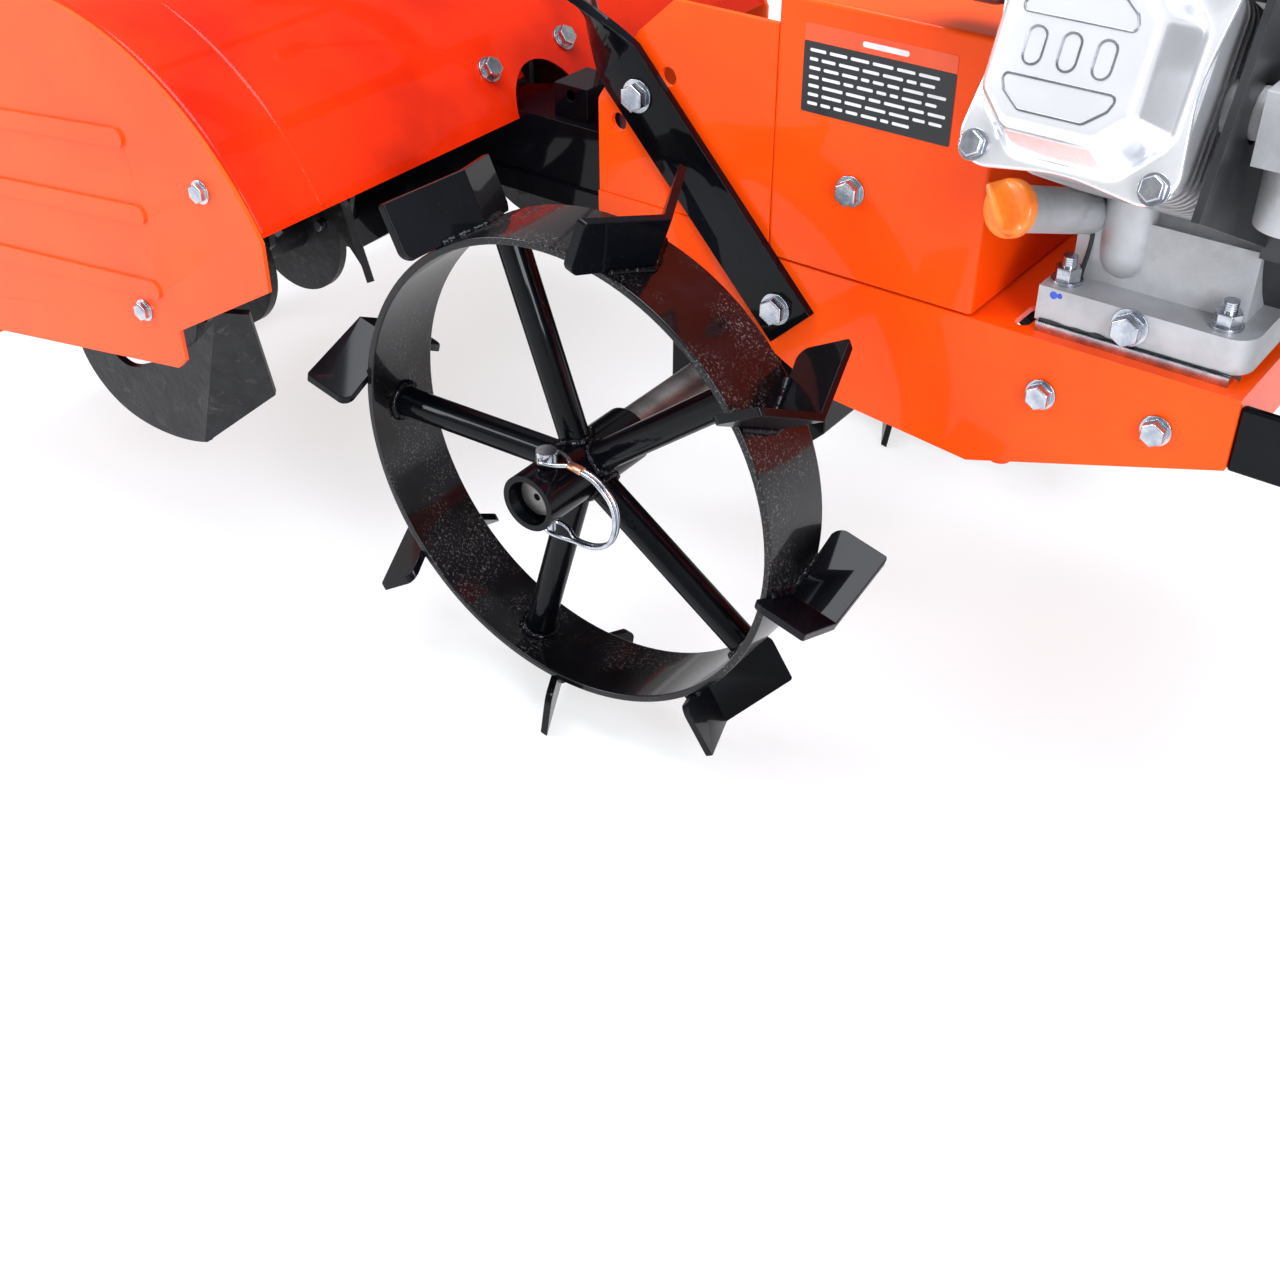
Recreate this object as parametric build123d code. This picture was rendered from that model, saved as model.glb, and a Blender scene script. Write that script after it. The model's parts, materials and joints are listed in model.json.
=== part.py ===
from build123d import *
from math import atan2, cos, degrees, radians, sin, sqrt
import os

# Walk-behind tiller on iron cage wheels.  Working axes: +X forwards, +Y to the machine's left, +Z up,
# wheel axle through the origin.  At the end everything moves so that the origin is on the ground.

# ---- wheels ----
rim_radius = 160.0
rim_width = 58.0
rim_wall = 5.0
wheel_plane = 236.0  # middle of each rim from the machine's centre plane
spoke_count = 5
spoke_dia = 20.0
spoke_wall = 2.5
spoke_first = 38.0  # degrees from straight ahead
hub_dia = 38.0
hub_outer_reach = 56.5  # from the rim's middle outwards
hub_inner_reach = 46.0
lug_angles = (116, 70, 28, -14, -55, -99, -146, 166)  # welded on by hand, so unevenly
lug_height = 35.0
lug_half_width = 48.0
lug_sweep = 25.0
lug_wall = 5.0
lug_corner = 8.0
axle_dia = 29.9
axle_fit = 0.05  # radial, between the axle and what it turns in or carries
axle_inset = 9.5  # from the hub's mouth to the end of the axle
axle_chamfer = 2.5
pin_dia = 8.0
pin_fit = 0.2
pin_inset = 20.5  # from the hub's mouth to the pin
pin_head_dia = 13.5
pin_head_height = 8.0
bow_wire = 3.0
bow_reach = 54.0

# ---- pressed-steel chassis ----
frame_half = 155.0
plate_wall = 4.0
deck_top = 134.5
deck_rear = 79.0
deck_front = 370.0
nose_bottom = 92.0
belly_low = 45.0
belly_mid = 55.0
tail_x = -47.0
tail_low = 128.5
seam_height = 144.0
tower_top = 270.7
cross_tube_dia = 24.0
belt_hole_half = 75.0
cover_front = 214.0
cover_top = 288.0
cover_wall = 2.0
brace_width = 36.0
brace_thick = 6.0
brace_angle = 133.8  # degrees from straight ahead
brace_foot = (101.4, 95.0)
brace_twist_start = 186.0
brace_twist_end = 250.0
brace_length = 330.0
bumper_reach = 70.0
bumper_height = 38.5
bumper_wall = 6.0

# ---- drive ----
main_shaft_dia = 20.0
main_shaft_height = 80.0
worm_radius = 20.0
mesh_gap = 2.0
gearbox_half = 45.0
gearbox_rear = -66.0
gearbox_front = 66.0
gearbox_wall = 6.0
beam_half = 35.0
beam_wall = 5.0
beam_top = 123.0
beam_bottom = 62.0
counter_x = -262.0
counter_z = 84.0
counter_dia = 16.0
small_sprocket_radius = 16.0
large_sprocket_radius = 26.0
sprocket_offset = 14.0
chain_thick = 5.0
chain_room = 1.5
shift_gap = 43.0  # from the hood's front edge to the shift housing's middle
shift_height = 24.0
lever_lean = 80.0  # how far back the top of the gear lever stands
lever_height = 300.0
shaft_fit = 0.05
crank_pulley_radius = 32.0
lower_pulley_radius = 44.0
pulley_start = 104.0
pulley_width = 34.0
belt_depth = 8.0
belt_width = 11.0

# ---- rotor, guards ----
rotor_x = -408.0
rotor_z = 0.0
rotor_shaft_dia = 30.0
rotor_half = 268.0
guard_radius = 222.0
guard_centre_z = 15.0
hood_half = 292.0
hood_wall = 2.5
hood_front_angle = 27.4
hood_rear_angle = 196.0
side_wall = 3.0
side_radius = 225.0
side_top_angle_rear = 192.0
notch_gap = 1.5  # between the beam and the hood's arch
notch_top = 146.0
hood_bolt_z = 150.0
hood_bolt_y = 43.0
hinge_gap = 0.8  # between the hood and the flap's knuckles
shroud_gap = 1.5  # between the fan's shroud and the deck
tine_plate = 6.0
tine_reach = 118.0
tine_bend = 40.0  # degrees that a blade's tip leans sideways out of its flat
flange_radius = 52.0
flange_half = 4.0
tine_bolt_radius = 38.0
# one row per flange: distance from the machine's middle, turn of the blade on the outer and the inner
# face, and whether the outer one is mounted back to front
tine_rows = ((237.5, 0.0, 180.0, False), (163.0, 40.0, 215.0, True), (88.0, 0.0, 200.0, True))
flap_drop = 55.0
flap_wall = 2.5
flap_pin_dia = 8.0
skid_bar = 20.0
skid_fit = 0.5
skid_foot_length = 90.0
skid_travel = 60.0
socket_low = 40.0
socket_high = 130.0
screw_z = 85.0
screw_dia = 10.0

# ---- engine ----
engine_rear = 247.0
engine_front = 366.0
engine_half = 144.0
shim_thick = 5.5
base_height = 20.0
crank_y = -36.0
crank_z = 221.0
crank_dia = 22.0
tilt = 25.0  # the cylinder leans this far down from horizontal towards the right
cylinder_x = 292.0
cylinder_start = 56.0
cylinder_end = 166.0
head_reach = 215.0  # crank centre to the valve cover's seat
cover_flange_width = 111.5
cover_flange_height = 110.5
valve_dome_height = 34.0
intake_reach = 172.0
shroud_wall = 4.0
tank_low = 342.0
tank_height = 92.0
stud_dia = 8.0
stud_rear_x = 257.0
stud_spacing = 90.0
stud_tail = 6.0
washer_radius = 9.0

# ---- handlebar ----
pivot_tube_dia = 30.0
bar_dia = 26.0
bar_wall = 2.0
grip_dia = 33.0
grip_length = 120.0
grip_end_x = -800.0
grip_height = 650.0
grip_half = 235.0
bar_hub_y = 96.0
hub_half = 14.0
knee = (-430.0, 585.0)
tie_at = 0.62


def rod(start, end, radius):
    axis = Vector(*end) - Vector(*start)
    place = Plane(origin=Vector(*start), z_dir=axis.normalized())
    return place * Cylinder(radius, axis.length, align=(Align.CENTER, Align.CENTER, Align.MIN))


def tube(start, end, radius, bore):
    return rod(start, end, radius) - rod(start, end, bore)


def plate_face(points, rounding=0.0, rounded=()):
    face = make_face(Polyline(*points, close=True))
    if rounding and rounded:
        corners = [v for v in face.vertices()
                   if any(abs(v.X - x) < 0.01 and abs(v.Y - y) < 0.01 for x, y in rounded)]
        face = fillet(corners, rounding)
    return face


def slab(face, y_low, y_high):
    return Pos(0, y_high, 0) * extrude(Plane.XZ * face, amount=y_high - y_low)


def both_sides(solid):
    return solid, mirror(solid, Plane.XZ)


def block(x_low, x_high, y_low, y_high, z_low, z_high):
    centre = Pos((x_low + x_high) / 2, (y_low + y_high) / 2, (z_low + z_high) / 2)
    return centre * Box(x_high - x_low, y_high - y_low, z_high - z_low)


def wedge(centre_x, centre_z, radius, start, end):
    steps = 6
    points = [(centre_x, centre_z)]
    for i in range(steps + 1):
        angle = radians(start + (end - start) * i / steps)
        points.append((centre_x + radius * cos(angle), centre_z + radius * sin(angle)))
    return make_face(Polyline(*points, close=True))


def ring_sector(centre_x, centre_z, inner, outer, start, end):
    ring = Pos(centre_x, centre_z) * (Circle(outer) - Circle(inner))
    return ring & wedge(centre_x, centre_z, outer * 1.4, start, end)


def flange_bolt(at, outwards, thread, shank, size=1.0):
    # head seat at the given point, head outwards, shank inwards
    place = Plane(origin=at, z_dir=outwards)
    flange = Cylinder(thread * 1.12 * size, 1.6, align=(Align.CENTER, Align.CENTER, Align.MIN))
    hexagon = extrude(RegularPolygon(thread * 0.8 * size, 6, major_radius=False), amount=thread * 0.75)
    head = flange + Pos(0, 0, 1.6) * chamfer(hexagon.edges().group_by(Axis.Z)[-1], 0.6)
    body = Pos(0, 0, -shank) * Cylinder(thread / 2, shank, align=(Align.CENTER, Align.CENTER, Align.MIN))
    return place * (head + body)


def hole(at, along, radius, length=40.0):
    start = Vector(*at) - Vector(*along) * length / 2
    return rod(tuple(start), tuple(start + Vector(*along) * length), radius)


parts = {}

# ---- iron wheels: rolled rim, tube spokes, hub tube, eight bent lugs ----
bolt_clear = 0.3
hub_bore = axle_dia / 2 + axle_fit
axle_end = wheel_plane + hub_outer_reach - axle_inset
pin_y = wheel_plane + hub_outer_reach - pin_inset


def make_lug(angle, side):
    outwards = Vector(cos(radians(angle)), 0, sin(radians(angle)))
    seat = Plane(origin=outwards * (rim_radius - 2.5) + Vector(0, side * wheel_plane, 0),
                 x_dir=(0, 1, 0), z_dir=outwards)
    rise = lug_wall / cos(atan2(lug_sweep, lug_half_width))
    w, s = lug_half_width, lug_sweep
    chevron = make_face(Polyline((-w, s), (0, 0), (w, s), (w, s + rise), (0, rise), (-w, s + rise), close=True))
    height = lug_height + 2.5
    bent = extrude(chevron, amount=height)
    card = Plane.XZ * (Pos(0, height / 2) * Rectangle(2 * w, height))
    block_card = Pos(0, s + 2 * rise, 0) * extrude(card, amount=2 * (s + 2 * rise))
    low = [e for e in block_card.edges().filter_by(Axis.Y) if e.center().Z < 1]
    block_card = fillet(low, lug_corner)
    high = [e for e in block_card.edges().filter_by(Axis.Y) if e.center().Z > height - 1]
    block_card = fillet(high, 2.0)
    lug = seat * (bent & block_card)
    return lug - rod((0, -400, 0), (0, 400, 0), rim_radius)


for name, side in (("right", -1), ("left", 1)):
    mid = side * wheel_plane
    near, far = mid - rim_width / 2, mid + rim_width / 2
    parts["wheel_rim_" + name] = tube((0, near, 0), (0, far, 0), rim_radius, rim_radius - rim_wall)
    hub_ends = sorted((mid + side * hub_outer_reach, mid - side * hub_inner_reach))
    hub = tube((0, hub_ends[0], 0), (0, hub_ends[1], 0), hub_dia / 2, hub_bore)
    hub -= hole((0, side * pin_y, 0), (0, 0, 1), pin_dia / 2 + pin_fit, 80)
    parts["wheel_hub_" + name] = hub
    spokes = []
    for i in range(spoke_count):
        a = radians(spoke_first + 360 / spoke_count * i)
        tip = ((rim_radius - 2) * cos(a), mid, (rim_radius - 2) * sin(a))
        spoke = tube((0, mid, 0), tip, spoke_dia / 2, spoke_dia / 2 - spoke_wall)
        spoke &= rod((0, -400, 0), (0, 400, 0), rim_radius - rim_wall)
        spoke -= rod((0, -400, 0), (0, 400, 0), hub_dia / 2)
        spokes.append(max(spoke.solids(), key=lambda s: s.volume))
    parts["wheel_spokes_" + name] = Compound(spokes)
    parts["wheel_lugs_" + name] = Compound([make_lug(a, side).solids()[0] for a in lug_angles])
    # clevis pin through hub and axle; its wire bow swings on a cross hole in the head
    seat_z = hub_dia / 2 + 1.5
    pin = rod((0, side * pin_y, -seat_z - 9), (0, side * pin_y, seat_z), pin_dia / 2)
    pin += rod((0, side * pin_y, seat_z), (0, side * pin_y, seat_z + pin_head_height), pin_head_dia / 2)
    bow_z = seat_z + pin_head_height * 0.45
    pin -= hole((0, side * pin_y, bow_z), (0, 1, 0), bow_wire / 2 + 0.1, 40)
    parts["lock_pin_" + name] = pin
    low_z = -seat_z - 6
    strand = pin_head_dia / 2 + bow_wire
    path_points = [(0, bow_z), (22, bow_z + 1), (bow_reach, 8), (bow_reach - 6, -24), (20, -30),
                   (pin_dia / 2 + 2.2, low_z)]
    bows = []
    for lane in (-1, 1):
        lane_y = side * pin_y + lane * strand
        line = FilletPolyline(*[(x, lane_y, z) for x, z in path_points], radius=(9, 16, 16, 9))
        wire = sweep((line ^ 0) * Circle(bow_wire / 2), path=line)
        bows.append(wire)
    cross_pin = rod((0, side * pin_y - strand, bow_z), (0, side * pin_y + strand, bow_z), bow_wire / 2)
    end_x, end_z = path_points[-1]
    closing = rod((end_x, side * pin_y - strand, end_z), (end_x, side * pin_y + strand, end_z), bow_wire / 2)
    knobs = [Pos(end_x, side * pin_y + k * strand, end_z) * Sphere(bow_wire / 2) for k in (-1, 1)]
    elbows = [Pos(0, side * pin_y + k * strand, bow_z) * Sphere(bow_wire / 2) for k in (-1, 1)]
    bow = bows[0] + bows[1] + cross_pin + closing + knobs[0] + knobs[1] + elbows[0] + elbows[1]
    parts["lock_bow_" + name] = bow

axle = rod((0, -axle_end, 0), (0, axle_end, 0), axle_dia / 2)
axle = chamfer(axle.edges().filter_by(GeomType.CIRCLE), axle_chamfer)
for side in (-1, 1):
    axle -= hole((0, side * pin_y, 0), (0, 0, 1), pin_dia / 2 + pin_fit, 80)
    axle -= hole((0, side * axle_end, 0), (0, 1, 0), 2.5, 12)
parts["wheel_axle"] = axle

# ---- chassis: folded side pans, rear towers, deck, nose plate, cross tubes ----
pan_points = [(tail_x, tail_low), (tail_x, seam_height), (deck_rear, seam_height), (deck_rear, deck_top),
              (deck_front, deck_top), (deck_front, nose_bottom), (223, belly_low), (124, belly_mid),
              (-26, tail_low)]
tower_points = [(tail_x, seam_height), (tail_x, 203), (-16.6, 248.3), (8.5, tower_top),
                (deck_rear, tower_top), (deck_rear, seam_height)]
slope = radians(brace_angle)


def along_brace(distance):
    return brace_foot[0] + distance * cos(slope), brace_foot[1] + distance * sin(slope)


brace_bolts = [along_brace(15), along_brace(164)]
pan_bolts = [(262.5, 102.5), (330.0, 103.0)]
tower_holes = [(-31.5, 191.0), (5.0, 226.0)]
m8_hole = 4 + bolt_clear
pan = slab(plate_face(pan_points, 2.5, [(tail_x, tail_low)]), frame_half - plate_wall, frame_half)
tower = slab(plate_face(tower_points, 8, [(tail_x, 203)]), frame_half - plate_wall - 1, frame_half - 1)
for x, z in pan_bolts + brace_bolts[:1]:
    pan -= hole((x, frame_half, z), (0, 1, 0), m8_hole)
for x, z in brace_bolts[1:]:
    tower -= hole((x, frame_half, z), (0, 1, 0), m8_hole)
for x, z in tower_holes:
    tower -= hole((x, frame_half, z), (0, 1, 0), 5.5)
parts["chassis_side_left"], parts["chassis_side_right"] = both_sides(pan)
parts["tower_left"], parts["tower_right"] = both_sides(tower)
inner_half = frame_half - plate_wall
deck = block(deck_rear, deck_front, -inner_half, inner_half, deck_top - plate_wall, deck_top)
deck -= block(deck_rear + 14, cover_front - 12, -belt_hole_half, belt_hole_half, 0, 200)
stud_y = engine_half - 13
studs = [(stud_rear_x + dx, sy * stud_y) for dx in (0, stud_spacing) for sy in (-1, 1)]
for x, y in studs:
    deck -= hole((x, y, deck_top), (0, 0, 1), stud_dia / 2 + bolt_clear)
for y in (-stud_y, stud_y):
    deck -= Pos(240, y, deck_top) * extrude(SlotOverall(30, 9, rotation=90), amount=10, both=True)
parts["engine_deck"] = deck
nose = block(deck_front - plate_wall, deck_front, -inner_half, inner_half, nose_bottom, deck_top - plate_wall)
parts["nose_plate"] = nose
tube_stations = ((160, 61), (240, 59), (352, 112))
parts["cross_tubes"] = Compound([
    tube((x, -inner_half, z), (x, inner_half, z), cross_tube_dia / 2, cross_tube_dia / 2 - 2)
    for x, z in tube_stations])
bolts = []
for x, z in pan_bolts:
    for side in (-1, 1):
        bolts.append(flange_bolt((x, side * frame_half, z), (0, side, 0), 8, plate_wall + 5))
parts["chassis_bolts"] = Compound(bolts)

# ---- belt cover over the whole width, its brackets and bolts ----
cover_half = frame_half
shell = block(deck_rear, cover_front, -cover_half, cover_half, deck_top + 1.5, cover_top)
shell = fillet(shell.edges().filter_by(Axis.Y).group_by(Axis.Z)[-1], 5)
shell = fillet(shell.edges().filter_by(Axis.Z).group_by(Axis.X)[-1], 3)
inside = block(deck_rear + cover_wall, cover_front - cover_wall, -cover_half + cover_wall,
               cover_half - cover_wall, 0, cover_top - cover_wall)
shell -= inside
shell -= hole((cover_front, crank_y, crank_z), (1, 0, 0), 28, 40)
cover_bolt_at = (132.3, 188.5)
for side in (-1, 1):
    shell -= hole((cover_bolt_at[0], side * cover_half, cover_bolt_at[1]), (0, 1, 0), m8_hole, 20)
parts["belt_cover"] = shell
brackets, bolts = [], []
for side in (-1, 1):
    lows = sorted((side * (cover_half - cover_wall), side * (cover_half - cover_wall - 4)))
    tab = block(cover_bolt_at[0] - 14, cover_bolt_at[0] + 14, lows[0], lows[1], deck_top + 6, 203)
    lows = sorted((side * (cover_half - cover_wall - 4), side * (inner_half - 24)))
    foot = block(cover_bolt_at[0] - 14, cover_bolt_at[0] + 14, lows[0], lows[1], deck_top, deck_top + 4)
    lows = sorted((side * (cover_half - cover_wall - 4), side * (cover_half - cover_wall - 8)))
    riser = block(cover_bolt_at[0] - 14, cover_bolt_at[0] + 14, lows[0], lows[1], deck_top + 4, 203)
    bracket = tab + foot + riser
    bracket -= hole((cover_bolt_at[0], side * cover_half, cover_bolt_at[1]), (0, 1, 0), m8_hole, 40)
    brackets.append(bracket.solids()[0])
    bolts.append(flange_bolt((cover_bolt_at[0], side * cover_half, cover_bolt_at[1]), (0, side, 0), 8, 14))
parts["cover_brackets"] = Compound(brackets)
parts["cover_bolts"] = Compound(bolts)

# ---- braces: flat bar, bolted twice, twisted a quarter turn above the tower ----


def brace_plane(distance, turn):
    x, z = along_brace(distance)
    ahead = Vector(cos(slope), 0, sin(slope))
    wide = Vector(-sin(slope), 0, cos(slope)).rotate(Axis((0, 0, 0), tuple(ahead)), turn)
    return Plane(origin=(x, frame_half + brace_thick / 2, z), x_dir=wide, z_dir=ahead)


section = Rectangle(brace_width, brace_thick)
flat = loft([brace_plane(0, 0) * section, brace_plane(brace_twist_start, 0) * section])
twist_steps = 5
turned = [brace_plane(brace_twist_start + (brace_twist_end - brace_twist_start) * i / twist_steps,
                      90 * i / twist_steps) * section for i in range(twist_steps + 1)]
twisted = loft(turned)
upper = loft([brace_plane(brace_twist_end, 90) * section, brace_plane(brace_length, 90) * section])
brace = flat + twisted + upper
for x, z in brace_bolts:
    brace -= hole((x, frame_half, z), (0, 1, 0), m8_hole)
pivot_x, pivot_z = along_brace(brace_length + pivot_tube_dia / 2 - 1)
brace -= hole((pivot_x, frame_half, pivot_z), (0, 1, 0), pivot_tube_dia / 2, 80)
parts["brace_left"], parts["brace_right"] = both_sides(brace)
bolts = []
for x, z in brace_bolts:
    for side in (-1, 1):
        bolts.append(flange_bolt((x, side * (frame_half + brace_thick), z), (0, side, 0), 8, 16, 1.12))
parts["brace_bolts"] = Compound(bolts)
pivot_half = frame_half + brace_thick / 2 + brace_width / 2
parts["pivot_tube"] = tube((pivot_x, -pivot_half, pivot_z), (pivot_x, pivot_half, pivot_z),
                           pivot_tube_dia / 2, pivot_tube_dia / 2 - 2.5)

# ---- front bumper: one flat bar bent into a U ----
bumper_half = frame_half - 2
front_x = deck_front + bumper_reach
outer = Pos((deck_front + front_x) / 2, 0) * Rectangle(bumper_reach, 2 * bumper_half)
outer = fillet([v for v in outer.vertices() if v.X > front_x - 1], 30)
inner = Pos((deck_front + front_x - bumper_wall) / 2, 0) * Rectangle(bumper_reach - bumper_wall + 0.01,
                                                                     2 * (bumper_half - bumper_wall))
inner = fillet([v for v in inner.vertices() if v.X > front_x - bumper_wall - 1], 24)
bumper_low = nose_bottom - 1
bumper = Pos(0, 0, bumper_low) * extrude(outer - inner, amount=bumper_height)
parts["front_bumper"] = bumper

# ---- gearbox in two halves round the axle; one straight main shaft above it ----
wheel_gear_radius = main_shaft_height - worm_radius - mesh_gap
box_low = -wheel_gear_radius - 9
box_outer = plate_face([(gearbox_rear, box_low + 20), (gearbox_rear, beam_top), (gearbox_front, beam_top),
                        (gearbox_front, box_low + 20), (gearbox_front - 20, box_low),
                        (gearbox_rear + 20, box_low)])
box_inner = offset(box_outer, -gearbox_wall)
case = slab(box_outer, -gearbox_half, gearbox_half) - slab(box_inner, -gearbox_half + gearbox_wall,
                                                          gearbox_half - gearbox_wall)
boss_half = gearbox_half + 12
case += rod((0, -boss_half, 0), (0, -gearbox_half + gearbox_wall, 0), 27)
case += rod((0, gearbox_half - gearbox_wall, 0), (0, boss_half, 0), 27)
case -= hole((0, 0, 0), (0, 1, 0), axle_dia / 2 + axle_fit, 200)
case -= hole((0, 0, main_shaft_height), (1, 0, 0), main_shaft_dia / 2 + shaft_fit, 400)
parts["gearbox_case_right"] = case & block(-200, 200, -100, 0, -200, 200)
parts["gearbox_case_left"] = case & block(-200, 200, 0, 100, -200, 200)
gear_half = 13
worm_gear = tube((0, -gear_half, 0), (0, gear_half, 0), wheel_gear_radius, axle_dia / 2 + 0.02)
teeth = 32
notch_face = Pos(wheel_gear_radius, 0) * Rectangle(7, 4.6)
for i in range(teeth):
    worm_gear -= slab(Rot(0, 0, 360 / teeth * i) * notch_face, -gear_half, gear_half)
parts["axle_worm_gear"] = worm_gear
pulley_end = pulley_start + pulley_width
shaft_rear = counter_x + small_sprocket_radius + 8
shaft_line = [(shaft_rear, 0, main_shaft_height), (pulley_end + 4, 0, main_shaft_height)]
parts["main_shaft"] = rod(shaft_line[0], shaft_line[1], main_shaft_dia / 2)
parts["drive_worm"] = tube((-32, 0, main_shaft_height), (32, 0, main_shaft_height), worm_radius,
                           main_shaft_dia / 2 + 0.02)


def make_pulley(radius, bore, y, z):
    wheel = tube((pulley_start, y, z), (pulley_end, y, z), radius, bore)
    for groove in range(2):
        x0 = pulley_start + 5 + groove * (belt_width + 3)
        wheel -= tube((x0, y, z), (x0 + belt_width, y, z), radius + 5, radius - belt_depth)
    return wheel


parts["crank_pulley"] = make_pulley(crank_pulley_radius, crank_dia / 2 + 0.02, crank_y, crank_z)
parts["driven_pulley"] = make_pulley(lower_pulley_radius, main_shaft_dia / 2 + 0.02, 0, main_shaft_height)


def belt_outline(extra):
    # the two circles of a belt run and the straight runs that touch both
    dy, dz = crank_y, crank_z - main_shaft_height
    gap = sqrt(dy * dy + dz * dz)
    lower = lower_pulley_radius - belt_depth + extra
    upper = crank_pulley_radius - belt_depth + extra
    heading = degrees(atan2(dz, dy))
    spread = degrees(atan2(sqrt(gap * gap - (lower - upper) ** 2), lower - upper))
    points = []
    for sign in (-1, 1):
        a = radians(heading + sign * spread)
        pair = [(lower * cos(a), main_shaft_height + lower * sin(a)),
                (crank_y + upper * cos(a), crank_z + upper * sin(a))]
        points += pair if sign < 0 else pair[::-1]
    runs = make_face(Polyline(*points, close=True))
    return runs + Pos(0, main_shaft_height) * Circle(lower) + Pos(crank_y, crank_z) * Circle(upper)


belt_face = belt_outline(belt_depth - 0.6) - belt_outline(0.4)
belts = []
for groove in range(2):
    x0 = pulley_start + 5 + groove * (belt_width + 3)
    belts.append(Pos(x0 + 0.4, 0, 0) * extrude(Plane.YZ * belt_face, amount=belt_width - 0.8))
parts["drive_belts"] = Compound([b.solids()[0] for b in belts])

# ---- beam from the gearbox back to the rotor, a box section with a knee ----
run_x, run_z = counter_x - rotor_x, counter_z - rotor_z
run_length = sqrt(run_x * run_x + run_z * run_z)
big_room = large_sprocket_radius + chain_thick + chain_room + beam_wall
small_room = small_sprocket_radius + chain_thick + chain_room + beam_wall


def beside_run(at_x, at_z, distance):
    return at_x - distance * run_z / run_length, at_z + distance * run_x / run_length


beam_points = [(gearbox_rear, beam_bottom), (gearbox_rear, beam_top), (-205, beam_top),
               (counter_x, counter_z + small_room + 0.5), beside_run(counter_x, counter_z, small_room),
               beside_run(rotor_x, rotor_z, big_room), beside_run(rotor_x, rotor_z, -big_room),
               beside_run(counter_x, counter_z, -small_room), (-238, beam_bottom)]
beam_face = plate_face(beam_points) + Pos(rotor_x, rotor_z) * Circle(big_room)
beam = slab(beam_face, -beam_half, beam_half)
beam -= slab(offset(beam_face, -beam_wall), -beam_half + beam_wall, beam_half - beam_wall)
rib = slab(plate_face([(gearbox_rear, beam_bottom), (gearbox_rear, 77), (-240, 77), (-248, 70),
                       (-238, beam_bottom)]), -beam_half - 3, beam_half + 3)
beam += rib - slab(beam_face, -beam_half, beam_half)
beam -= hole((gearbox_rear, 0, main_shaft_height), (1, 0, 0), main_shaft_dia / 2 + shaft_fit, 30)
beam -= hole((rotor_x, 0, rotor_z), (0, 1, 0), rotor_shaft_dia / 2 + shaft_fit, 200)
counter_half = beam_half - 1
beam -= hole((counter_x, 0, counter_z), (0, 1, 0), counter_dia / 2 + shaft_fit, 2 * counter_half)
parts["drive_beam"] = beam.solids()[0]
counter = rod((counter_x, -counter_half + 0.5, counter_z), (counter_x, counter_half - 0.5, counter_z),
              counter_dia / 2)
parts["counter_shaft"] = counter
chain_y = sprocket_offset
sprocket_half = 3.0


def sprocket(x, z, radius, bore, count):
    disc = tube((x, chain_y - sprocket_half, z), (x, chain_y + sprocket_half, z), radius, bore)
    for i in range(count):
        a = radians(360 / count * i)
        disc -= hole((x + radius * cos(a), chain_y, z + radius * sin(a)), (0, 1, 0), 3.2, 20)
    return disc


parts["small_sprocket"] = sprocket(counter_x, counter_z, small_sprocket_radius, counter_dia / 2 + 0.02, 9)
parts["large_sprocket"] = sprocket(rotor_x, rotor_z, large_sprocket_radius, rotor_shaft_dia / 2 + 0.02, 15)


def chain_outline(extra):
    dx, dz = counter_x - rotor_x, counter_z - rotor_z
    gap = sqrt(dx * dx + dz * dz)
    big, small = large_sprocket_radius + extra, small_sprocket_radius + extra
    heading = degrees(atan2(dz, dx))
    spread = degrees(atan2(sqrt(gap * gap - (big - small) ** 2), big - small))
    points = []
    for sign in (-1, 1):
        a = radians(heading + sign * spread)
        pair = [(rotor_x + big * cos(a), rotor_z + big * sin(a)),
                (counter_x + small * cos(a), counter_z + small * sin(a))]
        points += pair if sign < 0 else pair[::-1]
    runs = make_face(Polyline(*points, close=True))
    return runs + Pos(rotor_x, rotor_z) * Circle(big) + Pos(counter_x, counter_z) * Circle(small)


chain = slab(chain_outline(chain_thick) - chain_outline(0.4), chain_y - 4, chain_y + 4)
parts["rotor_chain"] = chain.solids()[0]
shift_x = rotor_x + guard_radius * cos(radians(hood_front_angle)) + shift_gap
shift_housing = block(shift_x - 17, shift_x + 13, -beam_half + 8, beam_half - 24, beam_top,
                      beam_top + shift_height)
shift_housing -= hole((shift_x - 2, 0, beam_top + shift_height - 7), (0, 1, 0), 4.1, 120)
parts["shift_housing"] = shift_housing

# ---- rotor: shaft, flanges, and on each flange two sickle blades whose tips lean sideways ----
parts["rotor_shaft"] = rod((rotor_x, -rotor_half, rotor_z), (rotor_x, rotor_half, rotor_z),
                           rotor_shaft_dia / 2)
outer_curve = Spline((-52, 10), (-76, -22), (-92, -62), (-70, -99), (-14, -117), (46, -108))
inner_curve = Spline((85, 14), (58, -15), (30, -36), (-13, -60), (-40, -66), (-54, -54), (-46, -30), (-26, -12))
sickle = make_face([outer_curve, Line((46, -108), (85, 14)), inner_curve,
                    Polyline((-26, -12), (-26, 14), (-52, 10))])
bend_start, bend_end = Vector(46, 0, -108), Vector(85, 0, 14)
bend_way = (bend_end - bend_start).normalized()
forward = Vector(bend_way.Z, 0, -bend_way.X)
bent_way = forward * cos(radians(tine_bend)) + Vector(0, sin(radians(tine_bend)), 0)
bend_plane = Plane(origin=bend_start, x_dir=bend_way, z_dir=bend_way.cross(bent_way))
bend_length = (bend_end - bend_start).length
tip = make_face(Polyline((0, -2), (0, 0), (59, 47), (bend_length + 3, 22), (bend_length, 0),
                         (bend_length, -2), close=True))
blade = slab(sickle, 0, tine_plate) + bend_plane * extrude(tip, amount=tine_plate)
blade = scale(blade, by=(tine_reach / 118, 1, tine_reach / 118))
blade -= hole((-tine_bolt_radius, 0, 0), (0, 1, 0), m8_hole)
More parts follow.
